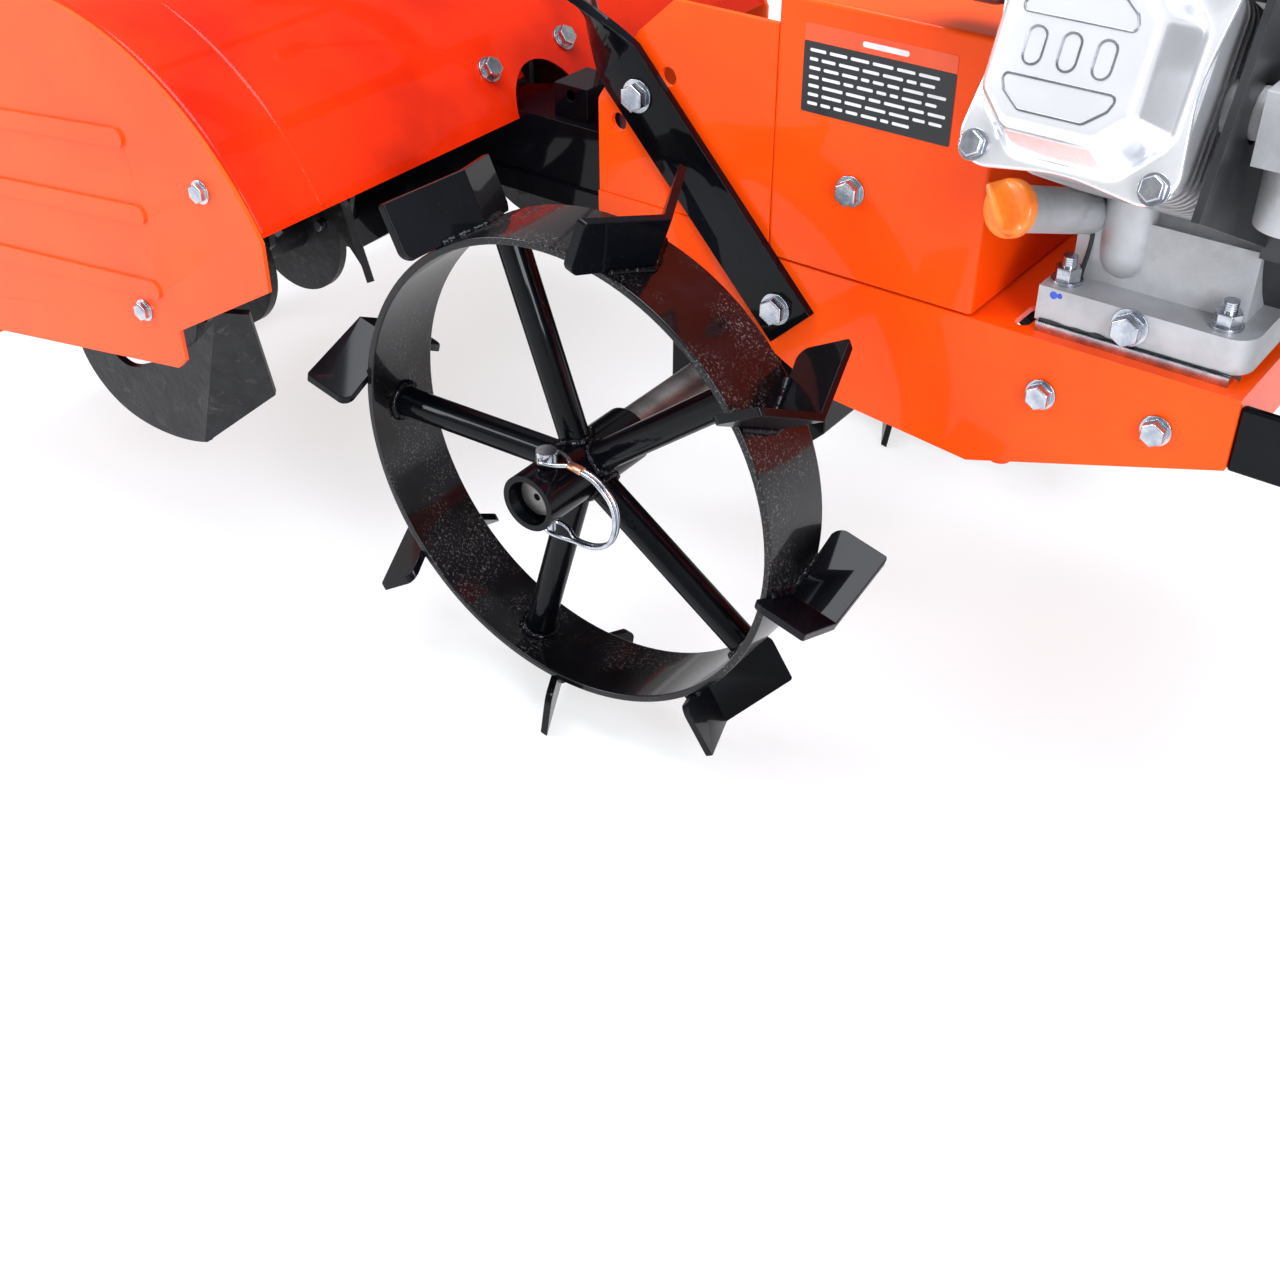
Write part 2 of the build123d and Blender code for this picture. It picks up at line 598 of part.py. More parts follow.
flanges, tines, tine_bolts = [], [], []
for station, outer_turn, inner_turn, back_to_front in tine_rows:
    disc = tube((rotor_x, -station - flange_half, rotor_z), (rotor_x, -station + flange_half, rotor_z),
                flange_radius, rotor_shaft_dia / 2 + 0.02)
    for turn, face, flipped in ((outer_turn, -1, back_to_front), (inner_turn, 1, False)):
        face_y = -station + face * flange_half
        low_y = face_y if flipped or face > 0 else face_y - tine_plate
        placed = Rot(180, 0, 0) * blade if flipped else blade
        placed = Pos(rotor_x, low_y, rotor_z) * Rot(0, -turn, 0) * placed
        a = radians(180 + turn)
        bolt_x, bolt_z = rotor_x + tine_bolt_radius * cos(a), rotor_z + tine_bolt_radius * sin(a)
        disc -= hole((bolt_x, -station, bolt_z), (0, 1, 0), m8_hole, 60)
        head_y = face_y + face * tine_plate
        tine_bolts += both_sides(flange_bolt((bolt_x, head_y, bolt_z), (0, face, 0), 8, 20, 0.9))
        tines += both_sides(placed.solids()[0])
    flanges += both_sides(disc.solids()[0])
parts["rotor_flanges"] = Compound(flanges)
parts["rotor_tines"] = Compound(tines)
parts["tine_bolts"] = Compound(tine_bolts)

# ---- hood, side panels, flap ----
hood_face = ring_sector(rotor_x, guard_centre_z, guard_radius - hood_wall, guard_radius, hood_front_angle,
                        hood_rear_angle)
hood = slab(hood_face, -hood_half, hood_half)
notch_half = beam_half + notch_gap
arch = Plane.YZ * (Pos(0, notch_top - notch_half) * Circle(notch_half)
                   + Pos(0, notch_top - notch_half - 30) * Rectangle(2 * notch_half, 60))
hood -= Pos(rotor_x, 0, 0) * extrude(arch, amount=400)
hood_bolt_x = rotor_x + sqrt(guard_radius ** 2 - (hood_bolt_z - guard_centre_z) ** 2)
hood_normal = Vector(hood_bolt_x - rotor_x, 0, hood_bolt_z - guard_centre_z).normalized()
mount_face = ring_sector(rotor_x, guard_centre_z, guard_radius - hood_wall - 6, guard_radius - hood_wall, 29, 44)
saddle = slab(mount_face, -62, 62)
saddle -= Pos(rotor_x, 0, 0) * extrude(arch, amount=400)
web = slab(plate_face([(-300, 92), (-262, 112), (-240, 130), (-252, 146), (-300, 150)]), -6, 6)
cleat = slab(plate_face([(-262, 142), (-248, 148), (-266, 166), (-280, 150)]), -62, 62)
reach = rod((rotor_x, -70, guard_centre_z), (rotor_x, 70, guard_centre_z), guard_radius - hood_wall - 6)
saddle = saddle + ((web + cleat) & reach) - slab(beam_face, -beam_half, beam_half)
for side in (-1, 1):
    bore = hole((hood_bolt_x, side * hood_bolt_y, hood_bolt_z), tuple(hood_normal), m8_hole, 50)
    hood -= bore
    saddle -= bore
parts["tine_hood"] = hood
parts["hood_saddle"] = max(saddle.solids(), key=lambda s: s.volume)
parts["hood_bolts"] = Compound([
    flange_bolt((hood_bolt_x, s * hood_bolt_y, hood_bolt_z), tuple(hood_normal), 8, 14, 1.05) for s in (-1, 1)])

side_face = (Pos(rotor_x, 12) * Circle(side_radius)) & wedge(rotor_x, 12, side_radius * 1.4, 27.2, side_top_angle_rear)
side_face += plate_face([(rotor_x, 12), (-208, 115), (-208, 82), (-306.5, 24.5), (-306, 1.8), (-315, -6.8),
                         (-529, -43), (-596, -52), (-628, -35)], 4, [(-315, -6.8)])
panel_low = hood_half + 0.1
panel = slab(side_face, panel_low, panel_low + side_wall)
rib_ends = ((-327, 163, -560), (-319, 112, -590), (-318, 57.6, -600))
rib_height = 13.0
for x, z, rear in rib_ends:
    length = x - rear
    mid_x = (x + rear) / 2
    mid_z = z - (x - mid_x) * 0.115
    rib_face = Pos(mid_x, mid_z - rib_height / 2) * Rot(0, 0, 6.6) * SlotOverall(length, rib_height)
    panel += slab(rib_face & side_face, panel_low + side_wall, panel_low + side_wall + 2)
panel_bolts = [(-258.0, 138.0), (-340.0, 31.0), (-579.0, 104.0)]
for x, z in panel_bolts:
    panel -= hole((x, panel_low, z), (0, 1, 0), 3 + bolt_clear, 20)
parts["side_panel_left"], parts["side_panel_right"] = both_sides(panel)
flanges = []
for side in (-1, 1):
    low, high = sorted((side * hood_half, side * (hood_half - 3)))
    lip = slab(ring_sector(rotor_x, guard_centre_z, guard_radius - 46, guard_radius - hood_wall, 29, 190),
               low, high)
    lip += slab(plate_face([(-382, 6), (-318, 14), (-318, 46), (-382, 46)]), low, high)
    lip += slab(plate_face([(-382, 6), (-382, 26), (-545, 26), (-600, 30), (-600, 6)]), low, high)
    for x, z in panel_bolts:
        lip -= hole((x, side * hood_half, z), (0, 1, 0), 3 + bolt_clear, 20)
    flanges.append(lip)
parts["panel_flanges"] = Compound([s for f in flanges for s in f.solids()])
bolts = []
for x, z in panel_bolts:
    for side in (-1, 1):
        bolts.append(flange_bolt((x, side * (panel_low + side_wall), z), (0, side, 0), 6, 14, 1.18))
parts["panel_bolts"] = Compound(bolts)

hinge_angle = radians(hood_rear_angle)
knuckle_radius = flap_pin_dia / 2 + 3
hinge_reach = guard_radius + knuckle_radius + hinge_gap
hinge_x = rotor_x + hinge_reach * cos(hinge_angle)
hinge_z = guard_centre_z + hinge_reach * sin(hinge_angle)
flap_half = hood_half - 12
parts["flap_pin"] = rod((hinge_x, -flap_half - 8, hinge_z), (hinge_x, flap_half + 8, hinge_z), flap_pin_dia / 2)
knuckles = []
for y in (-200, 0, 200):
    ear = tube((hinge_x, y - 20, hinge_z), (hinge_x, y + 20, hinge_z), knuckle_radius, flap_pin_dia / 2)
    strap = slab(ring_sector(rotor_x, guard_centre_z, guard_radius, guard_radius + 3, 182, hood_rear_angle - 1),
                 y - 20, y + 20)
    ear += strap - rod((hinge_x, y - 30, hinge_z), (hinge_x, y + 30, hinge_z), flap_pin_dia / 2)
    knuckles.append(ear.solids()[0] if len(ear.solids()) == 1 else max(ear.solids(), key=lambda s: s.volume))
parts["hood_knuckles"] = Compound(knuckles)
flap = block(hinge_x - knuckle_radius, hinge_x - knuckle_radius + flap_wall, -flap_half, flap_half,
             hinge_z - flap_drop, hinge_z)
for y, half in ((-246, 25), (-100, 79), (100, 79), (246, 25)):
    flap += tube((hinge_x, y - half, hinge_z), (hinge_x, y + half, hinge_z), knuckle_radius,
                 flap_pin_dia / 2 + shaft_fit)
for y in (-200, 0, 200):
    flap -= block(hinge_x - 9, hinge_x + 12, y - 21, y + 21, hinge_z - 10, hinge_z + 10)
flap -= block(hinge_x - 30, hinge_x + 30, -32, 32, hinge_z - flap_drop - 1, hinge_z - 30)
flap -= rod((hinge_x, -300, hinge_z), (hinge_x, 300, hinge_z), flap_pin_dia / 2 + shaft_fit)
parts["rear_flap"] = flap

# ---- depth skid: square bar in a socket behind the hood, foot on the ground ----
skid_x = hinge_x - 42
socket_half = skid_bar / 2 + skid_fit
socket = block(skid_x - socket_half - 4, skid_x + socket_half + 4, -socket_half - 4, socket_half + 4,
               socket_low, socket_high)
socket -= block(skid_x - socket_half, skid_x + socket_half, -socket_half, socket_half, 0, 300)
arm_face = plate_face([(skid_x + socket_half + 4, socket_low + 10), (rotor_x, socket_low + 10),
                       (rotor_x, socket_high - 10), (skid_x + socket_half + 4, socket_high - 10)])
arm_face -= Pos(rotor_x, guard_centre_z) * Circle(guard_radius)
socket += slab(arm_face, -9, 9)
socket -= rod((skid_x, -socket_half - 20, screw_z), (skid_x, 0, screw_z), screw_dia / 2 + shaft_fit)
parts["skid_socket"] = max(socket.solids(), key=lambda s: s.volume)

# ---- handlebar on the pivot tube ----
bar_bore = pivot_tube_dia / 2 + shaft_fit
for side in (-1, 1):
    path = FilletPolyline((pivot_x, side * bar_hub_y, pivot_z),
                          (knee[0], side * (bar_hub_y + 50), knee[1]),
                          (grip_end_x + 190, side * grip_half, grip_height),
                          (grip_end_x, side * grip_half, grip_height), radius=(90, 60))
    pipe = sweep((path ^ 0) * (Circle(bar_dia / 2) - Circle(bar_dia / 2 - bar_wall)), path=path)
    barrel = rod((pivot_x, side * bar_hub_y - hub_half, pivot_z), (pivot_x, side * bar_hub_y + hub_half, pivot_z),
                 pivot_tube_dia / 2 + 7)
    arm = pipe + barrel
    arm -= rod((pivot_x, side * bar_hub_y - 60, pivot_z), (pivot_x, side * bar_hub_y + 60, pivot_z), bar_bore)
    parts["handlebar_" + ("left" if side > 0 else "right")] = arm
tie_x = pivot_x + (knee[0] - pivot_x) * tie_at
tie_z = pivot_z + (knee[1] - pivot_z) * tie_at
tie_y = bar_hub_y + 50 * tie_at
tie = rod((tie_x, -tie_y, tie_z), (tie_x, tie_y, tie_z), 9)
tie -= parts["handlebar_left"]
tie -= parts["handlebar_right"]
parts["handlebar_tie"] = max(tie.solids(), key=lambda s: s.volume)
grips, clamps = [], []
for side in (-1, 1):
    start, end = (grip_end_x - 4, side * grip_half, grip_height), (grip_end_x + grip_length, side * grip_half,
                                                                  grip_height)
    grip = rod(start, end, grip_dia / 2)
    grip = fillet(grip.edges().filter_by(GeomType.CIRCLE), 3)
    grip -= rod((grip_end_x, side * grip_half, grip_height), (grip_end_x + 200, side * grip_half, grip_height),
                bar_dia / 2)
    grips.append(grip)
parts["hand_grips"] = Compound([g.solids()[0] for g in grips])
lever_x = grip_end_x + grip_length + 24
lever_z = grip_height - 30
for side in (-1, 1):
    name = "left" if side > 0 else "right"
    y = side * grip_half
    clamp = tube((lever_x - 9, y, grip_height), (lever_x + 9, y, grip_height), bar_dia / 2 + 4, bar_dia / 2)
    clamp += block(lever_x - 9, lever_x + 9, y - 4, y + 4, lever_z - 8, grip_height - bar_dia / 2 - 1)
    pin_bore = 3.0
    clamp -= hole((lever_x, y, lever_z), (0, 1, 0), pin_bore, 40)
    parts["lever_clamp_" + name] = clamp
    cheek = plate_face([(lever_x + 9, lever_z + 8), (lever_x + 9, lever_z - 10), (lever_x - 28, lever_z - 18),
                        (lever_x - 136, lever_z - 16), (lever_x - 134, lever_z - 8), (lever_x - 34, lever_z - 6),
                        (lever_x - 9, lever_z + 8)])
    lever = slab(cheek, y - 9, y + 9) - slab(cheek, y - 4.4, y + 4.4) \
        + slab(plate_face([(lever_x - 28, lever_z - 18), (lever_x - 136, lever_z - 16),
                           (lever_x - 134, lever_z - 8), (lever_x - 34, lever_z - 6)]), y - 9, y + 9)
    lever += rod((lever_x, y - 11, lever_z), (lever_x, y + 11, lever_z), pin_bore - shaft_fit)
    parts["hand_lever_" + name] = lever

throttle_x = lever_x + 60
throttle_y = -grip_half
box_top = grip_height + bar_dia / 2
throttle_box = block(throttle_x - 16, throttle_x + 16, throttle_y - 10, throttle_y + 10, box_top, box_top + 20)
throttle_box -= block(throttle_x - 14, throttle_x + 14, throttle_y - 3, throttle_y + 3, box_top + 3, box_top + 21)
throttle_box -= hole((throttle_x, throttle_y, box_top + 9), (0, 1, 0), 3.0, 40)
parts["throttle_box"] = throttle_box
thumb = slab(plate_face([(throttle_x - 4, box_top + 5), (throttle_x + 4, box_top + 5), (throttle_x + 6, box_top + 42),
                         (throttle_x - 6, box_top + 42)]), throttle_y - 2.6, throttle_y + 2.6)
thumb += rod((throttle_x, throttle_y - 9.5, box_top + 9), (throttle_x, throttle_y + 9.5, box_top + 9), 2.95)
parts["throttle_lever"] = thumb

# ---- gear lever rocking on the shift housing ----
gear_axis_z = beam_top + shift_height - 7
gear_x = shift_x - 2
gear_y = beam_half - 18
gear_lever = rod((gear_x, 0, gear_axis_z), (gear_x, gear_y, gear_axis_z), 4.0)
gear_lever += rod((gear_x, gear_y, gear_axis_z - 6), (gear_x - lever_lean, gear_y, gear_axis_z + lever_height), 5)
gear_lever += Pos(gear_x - lever_lean, gear_y, gear_axis_z + lever_height) * Sphere(16)
parts["gear_lever"] = gear_lever

# ---- engine ----
deck_pad = deck_top + shim_thick
shim_bars = []
crankcase_top = crank_z + 62
for side in (-1, 1):
    low, high = sorted((side * (engine_half + 3), side * (engine_half - 34)))
    shim_bar = block(engine_rear + 2, engine_front - 7, low, high, deck_top, deck_pad)
    for x, y in studs:
        shim_bar -= hole((x, y, deck_top), (0, 0, 1), stud_dia / 2 + bolt_clear)
    shim_bars.append(shim_bar.solids()[0])
parts["engine_shims"] = Compound(shim_bars)
lean = radians(tilt)
cylinder_axis = Vector(0, -cos(lean), sin(lean))
base_outline = Pos((engine_rear + engine_front) / 2, 0) * Rectangle(engine_front - engine_rear, 2 * engine_half)
base_outline = fillet([v for v in base_outline.vertices() if v.X > 300], 14)
base = Pos(0, 0, deck_pad) * extrude(base_outline, amount=base_height)
body_low = washer_radius + 1 - stud_y
body = block(engine_rear + 8, engine_front - 12, body_low, 92, deck_pad, crankcase_top - 20)
body = fillet(body.edges().filter_by(Axis.X), 16)
body += rod((engine_rear + 8, crank_y, crank_z), (engine_front - 12, crank_y, crank_z), 66)
hollow = rod((engine_rear + 16, crank_y, crank_z), (engine_front - 20, crank_y, crank_z), 58)
hollow += block(engine_rear + 16, engine_front - 20, body_low + 8, 80, deck_pad + 8, 190)
crankcase = base + body
crankcase -= hollow


def on_cylinder(distance, x=0.0, across=0.0):
    # a point up the leaning cylinder; across runs up the cover's face
    upwards = Vector(0, sin(lean), cos(lean))
    return Vector(cylinder_x + x, crank_y, crank_z) + cylinder_axis * distance + upwards * across


def cylinder_plane(distance):
    return Plane(origin=on_cylinder(distance), x_dir=(1, 0, 0), z_dir=cylinder_axis)


barrel = cylinder_plane(cylinder_start) * extrude(Circle(43), amount=cylinder_end - cylinder_start)
fin = fillet(Rectangle(98, 98).vertices(), 16)
for i in range(int((cylinder_end - cylinder_start - 4) / 11) + 1):
    barrel += cylinder_plane(cylinder_start + 11 * i) * extrude(fin, amount=3.5)
barrel -= cylinder_plane(cylinder_start - 40) * extrude(Circle(35), amount=cylinder_end - cylinder_start + 80)
crankcase -= cylinder_plane(cylinder_start) * extrude(Rectangle(140, 112), amount=120)
crankcase = max(crankcase.solids(), key=lambda s: s.volume)
for x, y in studs:
    crankcase -= hole((x, y, deck_pad), (0, 0, 1), stud_dia / 2 + bolt_clear, 60)
crank_bore = crank_dia / 2 + shaft_fit
crankcase -= hole((cylinder_x, crank_y, crank_z), (1, 0, 0), crank_bore, 200)
drain_at = (301.0, -engine_half, deck_pad + 11)
crankcase -= hole(drain_at, (0, 1, 0), 5 + bolt_clear, 60)
filler_mouth = Vector(243, -185, 217)
filler_root = Vector(262, -100, 190)
parts["crankcase"] = crankcase
parts["cylinder_barrel"] = barrel
head_block = fillet(Rectangle(100, 96).vertices(), 14)
head = cylinder_plane(cylinder_end) * extrude(head_block, amount=head_reach - cylinder_end)
for i in range(3):
    groove = Rectangle(140, 140) - fillet(Rectangle(84, 80).vertices(), 12)
    head -= cylinder_plane(cylinder_end + 4 + 9 * i) * extrude(groove, amount=5)
parts["cylinder_head"] = head

half_w, half_h = cover_flange_width / 2, cover_flange_height / 2
flange_face = make_face(Polyline((-half_w, -half_h), (0, -half_h + 9), (half_w, -half_h), (half_w - 7, 0),
                                 (half_w, half_h), (0, half_h - 9), (-half_w, half_h), (-half_w + 7, 0),
                                 close=True))
corners = [v for v in flange_face.vertices() if abs(v.X) > half_w - 1]
flange_face = fillet(corners, 10)
seat = cylinder_plane(head_reach)
valve_cover = seat * extrude(flange_face, amount=4)
dome_w, dome_h, cut = 44.0, 43.0, 17.0
dome_face = make_face(Polyline((-dome_w, -dome_h + cut), (-dome_w + cut, -dome_h), (dome_w - cut, -dome_h),
                               (dome_w, -dome_h + cut), (dome_w, dome_h - cut), (dome_w - cut, dome_h),
                               (-dome_w + cut, dome_h), (-dome_w, dome_h - cut), close=True))
dome = cylinder_plane(head_reach + 4) * extrude(dome_face, amount=valve_dome_height, taper=14)
valve_cover += dome
top_plane = cylinder_plane(head_reach + 4 + valve_dome_height)
for flip in (-1, 1):
    panel_face = make_face(Polyline((-27, flip * 15), (27, flip * 15), (19, flip * 29), (-19, flip * 29), close=True))
    panel_face = fillet(panel_face.vertices(), 3)
    ring = offset(panel_face, 0.8) - offset(panel_face, -0.8)
    valve_cover -= top_plane * extrude(ring, amount=-0.8)
for x in (-16, 0, 16):
    bar_ring = SlotOverall(20, 8, rotation=90) - SlotOverall(17, 5, rotation=90)
    valve_cover -= top_plane * (Pos(x, 0) * extrude(bar_ring, amount=-0.8))
hollow_face = offset(dome_face, -4)
valve_cover -= cylinder_plane(head_reach) * extrude(hollow_face, amount=valve_dome_height, taper=14)
cover_bolt_spots = [(sx * (half_w - 12), sy * (half_h - 11)) for sx in (-1, 1) for sy in (-1, 1)]
for x, v in cover_bolt_spots:
    valve_cover -= seat * (Pos(x, v) * Cylinder(3 + bolt_clear, 60))
    parts["cylinder_head"] -= seat * (Pos(x, v) * Cylinder(3 + bolt_clear, 40))
parts["valve_cover"] = valve_cover
parts["valve_cover_bolts"] = Compound([
    flange_bolt(tuple(on_cylinder(head_reach + 4, x, v)), tuple(cylinder_axis), 6, 14, 1.1)
    for x, v in cover_bolt_spots])
parts["cylinder_head"] = max(parts["cylinder_head"].solids(), key=lambda s: s.volume)

nuts = []
for x, y in studs:
    top = deck_pad + base_height
    stud = rod((x, y, deck_top - plate_wall - stud_tail), (x, y, top + 15), stud_dia / 2)
    nut = extrude(RegularPolygon(6.5, 6, major_radius=False), amount=7)
    nut = Pos(x, y, top + 2) * chamfer(nut.edges().group_by(Axis.Z)[-1], 0.5)
    washer = rod((x, y, top), (x, y, top + 2), washer_radius)
    nuts.append(stud + nut + washer)
parts["engine_studs"] = Compound(nuts)
parts["drain_plug"] = flange_bolt(drain_at, (0, -1, 0), 10, 12, 0.95)
filler = rod(tuple(filler_root), tuple(filler_mouth), 12)
filler -= rod((engine_rear + 8, crank_y, crank_z), (engine_front - 12, crank_y, crank_z), 66)
filler -= crankcase
filler -= barrel
filler = max(filler.solids(), key=lambda s: s.volume)
cap_way = (filler_mouth - filler_root).normalized()
parts["oil_filler"] = filler
cap_plane = Plane(origin=filler_mouth, z_dir=cap_way)
cap = cap_plane * Cylinder(15, 7, align=(Align.CENTER, Align.CENTER, Align.MIN))
cap += cap_plane * (Pos(0, 0, 12) * Box(27, 6, 10))
parts["oil_cap"] = cap

parts["crankshaft"] = rod((pulley_start - 4, crank_y, crank_z), (engine_front + 40, crank_y, crank_z), crank_dia / 2)
fan_x = engine_front + 4
flywheel = tube((fan_x, crank_y, crank_z), (fan_x + 22, crank_y, crank_z), 70, crank_dia / 2 + 0.02)
for i in range(10):
    a = radians(36 * i)
    flywheel -= hole((fan_x + 22, crank_y + 52 * cos(a), crank_z + 52 * sin(a)), (1, 0, 0), 9, 24)
parts["flywheel"] = flywheel
shroud_end = fan_x + 46
shroud_radius = crank_z - deck_top - shroud_gap
shroud_outer = Pos(crank_y, crank_z) * Circle(shroud_radius) + Pos(crank_y - 62, crank_z + 26) * Rectangle(60, 96)
shroud = Pos(engine_front - 12, 0, 0) * extrude(Plane.YZ * shroud_outer, amount=shroud_end - engine_front + 12)
shroud = fillet(shroud.edges().group_by(Axis.X)[-1], 8)
shroud_inner = Pos(crank_y, crank_z) * Circle(shroud_radius - shroud_wall) \
    + Pos(crank_y - 60, crank_z + 26) * Rectangle(56, 88)
shroud -= Pos(engine_front - 13, 0, 0) * extrude(Plane.YZ * shroud_inner, amount=shroud_end - engine_front + 9)
for i in range(12):
    a = radians(30 * i)
    shroud -= hole((shroud_end, crank_y + 30 * cos(a), crank_z + 30 * sin(a)), (1, 0, 0), 4.5, 20)
# an air duct carries the fan's air along the front and the top of the cylinder
duct_reach = head_reach - cylinder_start - 12
duct_x = engine_front - 12 - cylinder_x
duct_plane = cylinder_plane(cylinder_start + 4)
duct = duct_plane * (Pos(duct_x, 6) * extrude(Rectangle(4, 118), amount=duct_reach))
duct += duct_plane * (Pos((duct_x - 48) / 2, 63) * extrude(Rectangle(duct_x + 52, 4), amount=duct_reach))
duct -= hole(tuple(on_cylinder(intake_reach, duct_x)), (1, 0, 0), 14, 30)
shroud += duct
shroud -= Pos(engine_front - 20, 0, 0) * extrude(Plane.YZ * shroud_inner, amount=shroud_end - engine_front + 16)
parts["fan_shroud"] = max((shroud - crankcase).solids(), key=lambda s: s.volume)
pull = Pos(shroud_end + 9, crank_y - 52, crank_z + 40) * Rot(0, 0, 0) * Box(14, 20, 56)
pull = fillet(pull.edges(), 4)
pull += rod((shroud_end - 8, crank_y - 52, crank_z + 40), (shroud_end + 6, crank_y - 52, crank_z + 40), 3)
parts["fan_shroud"] -= hole((shroud_end, crank_y - 52, crank_z + 40), (1, 0, 0), 3.3, 20)
parts["pull_handle"] = pull

# carburettor, air cleaner, exhaust, tank
carb_x = engine_front - 4
head_mid = on_cylinder(intake_reach)
intake = rod((cylinder_x + 50, head_mid.Y, head_mid.Z), (carb_x, head_mid.Y, head_mid.Z), 12)
bowl_y, bowl_z = head_mid.Y, head_mid.Z
carb = block(carb_x, carb_x + 38, bowl_y - 19, bowl_y + 19, bowl_z - 17, bowl_z + 17)
carb += rod((carb_x + 19, bowl_y, bowl_z - 47), (carb_x + 19, bowl_y, bowl_z - 17), 17)
parts["intake_pipe"] = intake
parts["carburettor"] = carb
cleaner = block(carb_x + 38, carb_x + 88, bowl_y - 48, bowl_y + 44, bowl_z - 20, bowl_z + 70)
parts["air_cleaner"] = fillet(cleaner.edges(), 12)
muffler = block(cylinder_x - 130, cylinder_x - 58, bowl_y - 10, bowl_y + 62, bowl_z + 22, bowl_z + 90)
muffler = fillet(muffler.edges(), 14)
pipe_z = bowl_z + 34
muffler += rod((cylinder_x - 62, bowl_y + 20, pipe_z - 4), (cylinder_x - 40, bowl_y + 20, pipe_z - 4), 11)
muffler = muffler - head - barrel
parts["muffler"] = max(muffler.solids(), key=lambda s: s.volume)
tank_top = tank_low + tank_height
tank = block(cylinder_x - 70, cylinder_x + 95, -84, 92, tank_low, tank_top)
tank = fillet(tank.edges(), 22)
tank_hollow = block(cylinder_x - 67, cylinder_x + 92, -81, 89, tank_low + 3, tank_top - 3)
tank -= fillet(tank_hollow.edges(), 19)
neck_x, neck_y = cylinder_x + 20, 10.0
tank += rod((neck_x, neck_y, tank_top - 1), (neck_x, neck_y, tank_top + 8), 24)
tank -= rod((neck_x, neck_y, tank_top - 10), (neck_x, neck_y, tank_top + 9), 20)
parts["fuel_tank"] = tank
fuel_cap = rod((neck_x, neck_y, tank_top + 8), (neck_x, neck_y, tank_top + 22), 29)
fuel_cap = fillet(fuel_cap.edges().group_by(Axis.Z)[-1], 4)
for i in range(18):
    a = radians(20 * i)
    fuel_cap -= hole((neck_x + 30 * cos(a), neck_y + 30 * sin(a), tank_top + 15), (0, 0, 1), 2.2, 30)
parts["fuel_cap"] = fuel_cap
legs = []
for x in (cylinder_x - 40, cylinder_x + 44):
    for y in (-60, 60):
        legs.append(block(x - 9, x + 9, y - 3, y + 3, crank_z + 20, tank_low))
leg_solids = []
for leg in legs:
    rest = leg - crankcase - barrel
    leg_solids.append(max(rest.solids(), key=lambda s: s.bounding_box().max.Z))
parts["tank_brackets"] = Compound(leg_solids)

# ---- put the origin on the ground below the middle, find the skid foot's height first ----
ground_z = min(parts["wheel_lugs_right"].bounding_box().min.Z, parts["wheel_lugs_left"].bounding_box().min.Z)
bar_face_low = ground_z + 8
skid = block(skid_x - skid_bar / 2, skid_x + skid_bar / 2, -skid_bar / 2, skid_bar / 2, bar_face_low,
             socket_high + skid_travel)
foot = slab(plate_face([(skid_x - skid_foot_length / 2, ground_z + 14), (skid_x - skid_foot_length / 2 + 8, ground_z),
                        (skid_x + skid_foot_length / 2 - 14, ground_z),
                        (skid_x + skid_foot_length / 2, ground_z + 24), (skid_x + skid_foot_length / 2 - 6, ground_z + 27),
                        (skid_x + skid_foot_length / 2 - 20, ground_z + 8), (skid_x - skid_foot_length / 2 + 10, ground_z + 8)]),
            -25, 25)
parts["depth_skid"] = skid + foot
screw_tip = -skid_bar / 2 - 0.1
screw = rod((skid_x, screw_tip - 30, screw_z), (skid_x, screw_tip, screw_z), screw_dia / 2)
screw += rod((skid_x, screw_tip - 26, screw_z - 26), (skid_x, screw_tip - 26, screw_z + 26), 3.5)
parts["skid_clamp_screw"] = screw

# what is one casting, weldment or set of fasteners shares a file, still as separate solids
sets = {
    "chassis_pan": ("chassis_side_right", "chassis_side_left", "engine_deck", "nose_plate", "cover_brackets",
                    "cross_tubes"),
    "tower_plates": ("tower_right", "tower_left"),
    "frame_bolts": ("chassis_bolts", "cover_bolts", "brace_bolts"),
    "braces": ("brace_right", "brace_left", "pivot_tube"),
    "wheel_spider_right": ("wheel_hub_right", "wheel_spokes_right"),
    "wheel_spider_left": ("wheel_hub_left", "wheel_spokes_left"),
    "lock_pins": ("lock_pin_right", "lock_pin_left"),
    "worm_shaft": ("main_shaft", "drive_worm"),
    "counter_sprocket_shaft": ("counter_shaft", "small_sprocket"),
    "drive_beam": ("drive_beam", "shift_housing"),
    "rotor_shaft": ("rotor_shaft", "large_sprocket"),
    "tine_hood": ("tine_hood", "hood_knuckles", "panel_flanges"),
    "side_panels": ("side_panel_right", "side_panel_left"),
    "guard_bolts": ("panel_bolts", "hood_bolts"),
    "handlebars": ("handlebar_right", "handlebar_left", "handlebar_tie"),
    "lever_clamps": ("lever_clamp_right", "lever_clamp_left", "throttle_box"),
    "engine_block": ("crankcase", "cylinder_barrel", "oil_filler"),
    "engine_fasteners": ("engine_shims", "engine_studs", "valve_cover_bolts", "drain_plug"),
    "carburettor": ("intake_pipe", "carburettor"),
    "crankshaft": ("crankshaft", "flywheel"),
}
for name, members in sets.items():
    parts[name] = Compound([s for member in [parts.pop(m) for m in members] for s in member.solids()])

whole = Compound([s for p in parts.values() for s in p.solids()]).bounding_box()
shift = Vector(-(whole.min.X + whole.max.X) / 2, -(whole.min.Y + whole.max.Y) / 2, -whole.min.Z)
os.makedirs("parts", exist_ok=True)
for name, piece in parts.items():
    export_step(Pos(*shift) * piece, "parts/" + name + ".step")
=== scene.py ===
import bpy
import bmesh
import json
import math
import random
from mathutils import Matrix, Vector, noise

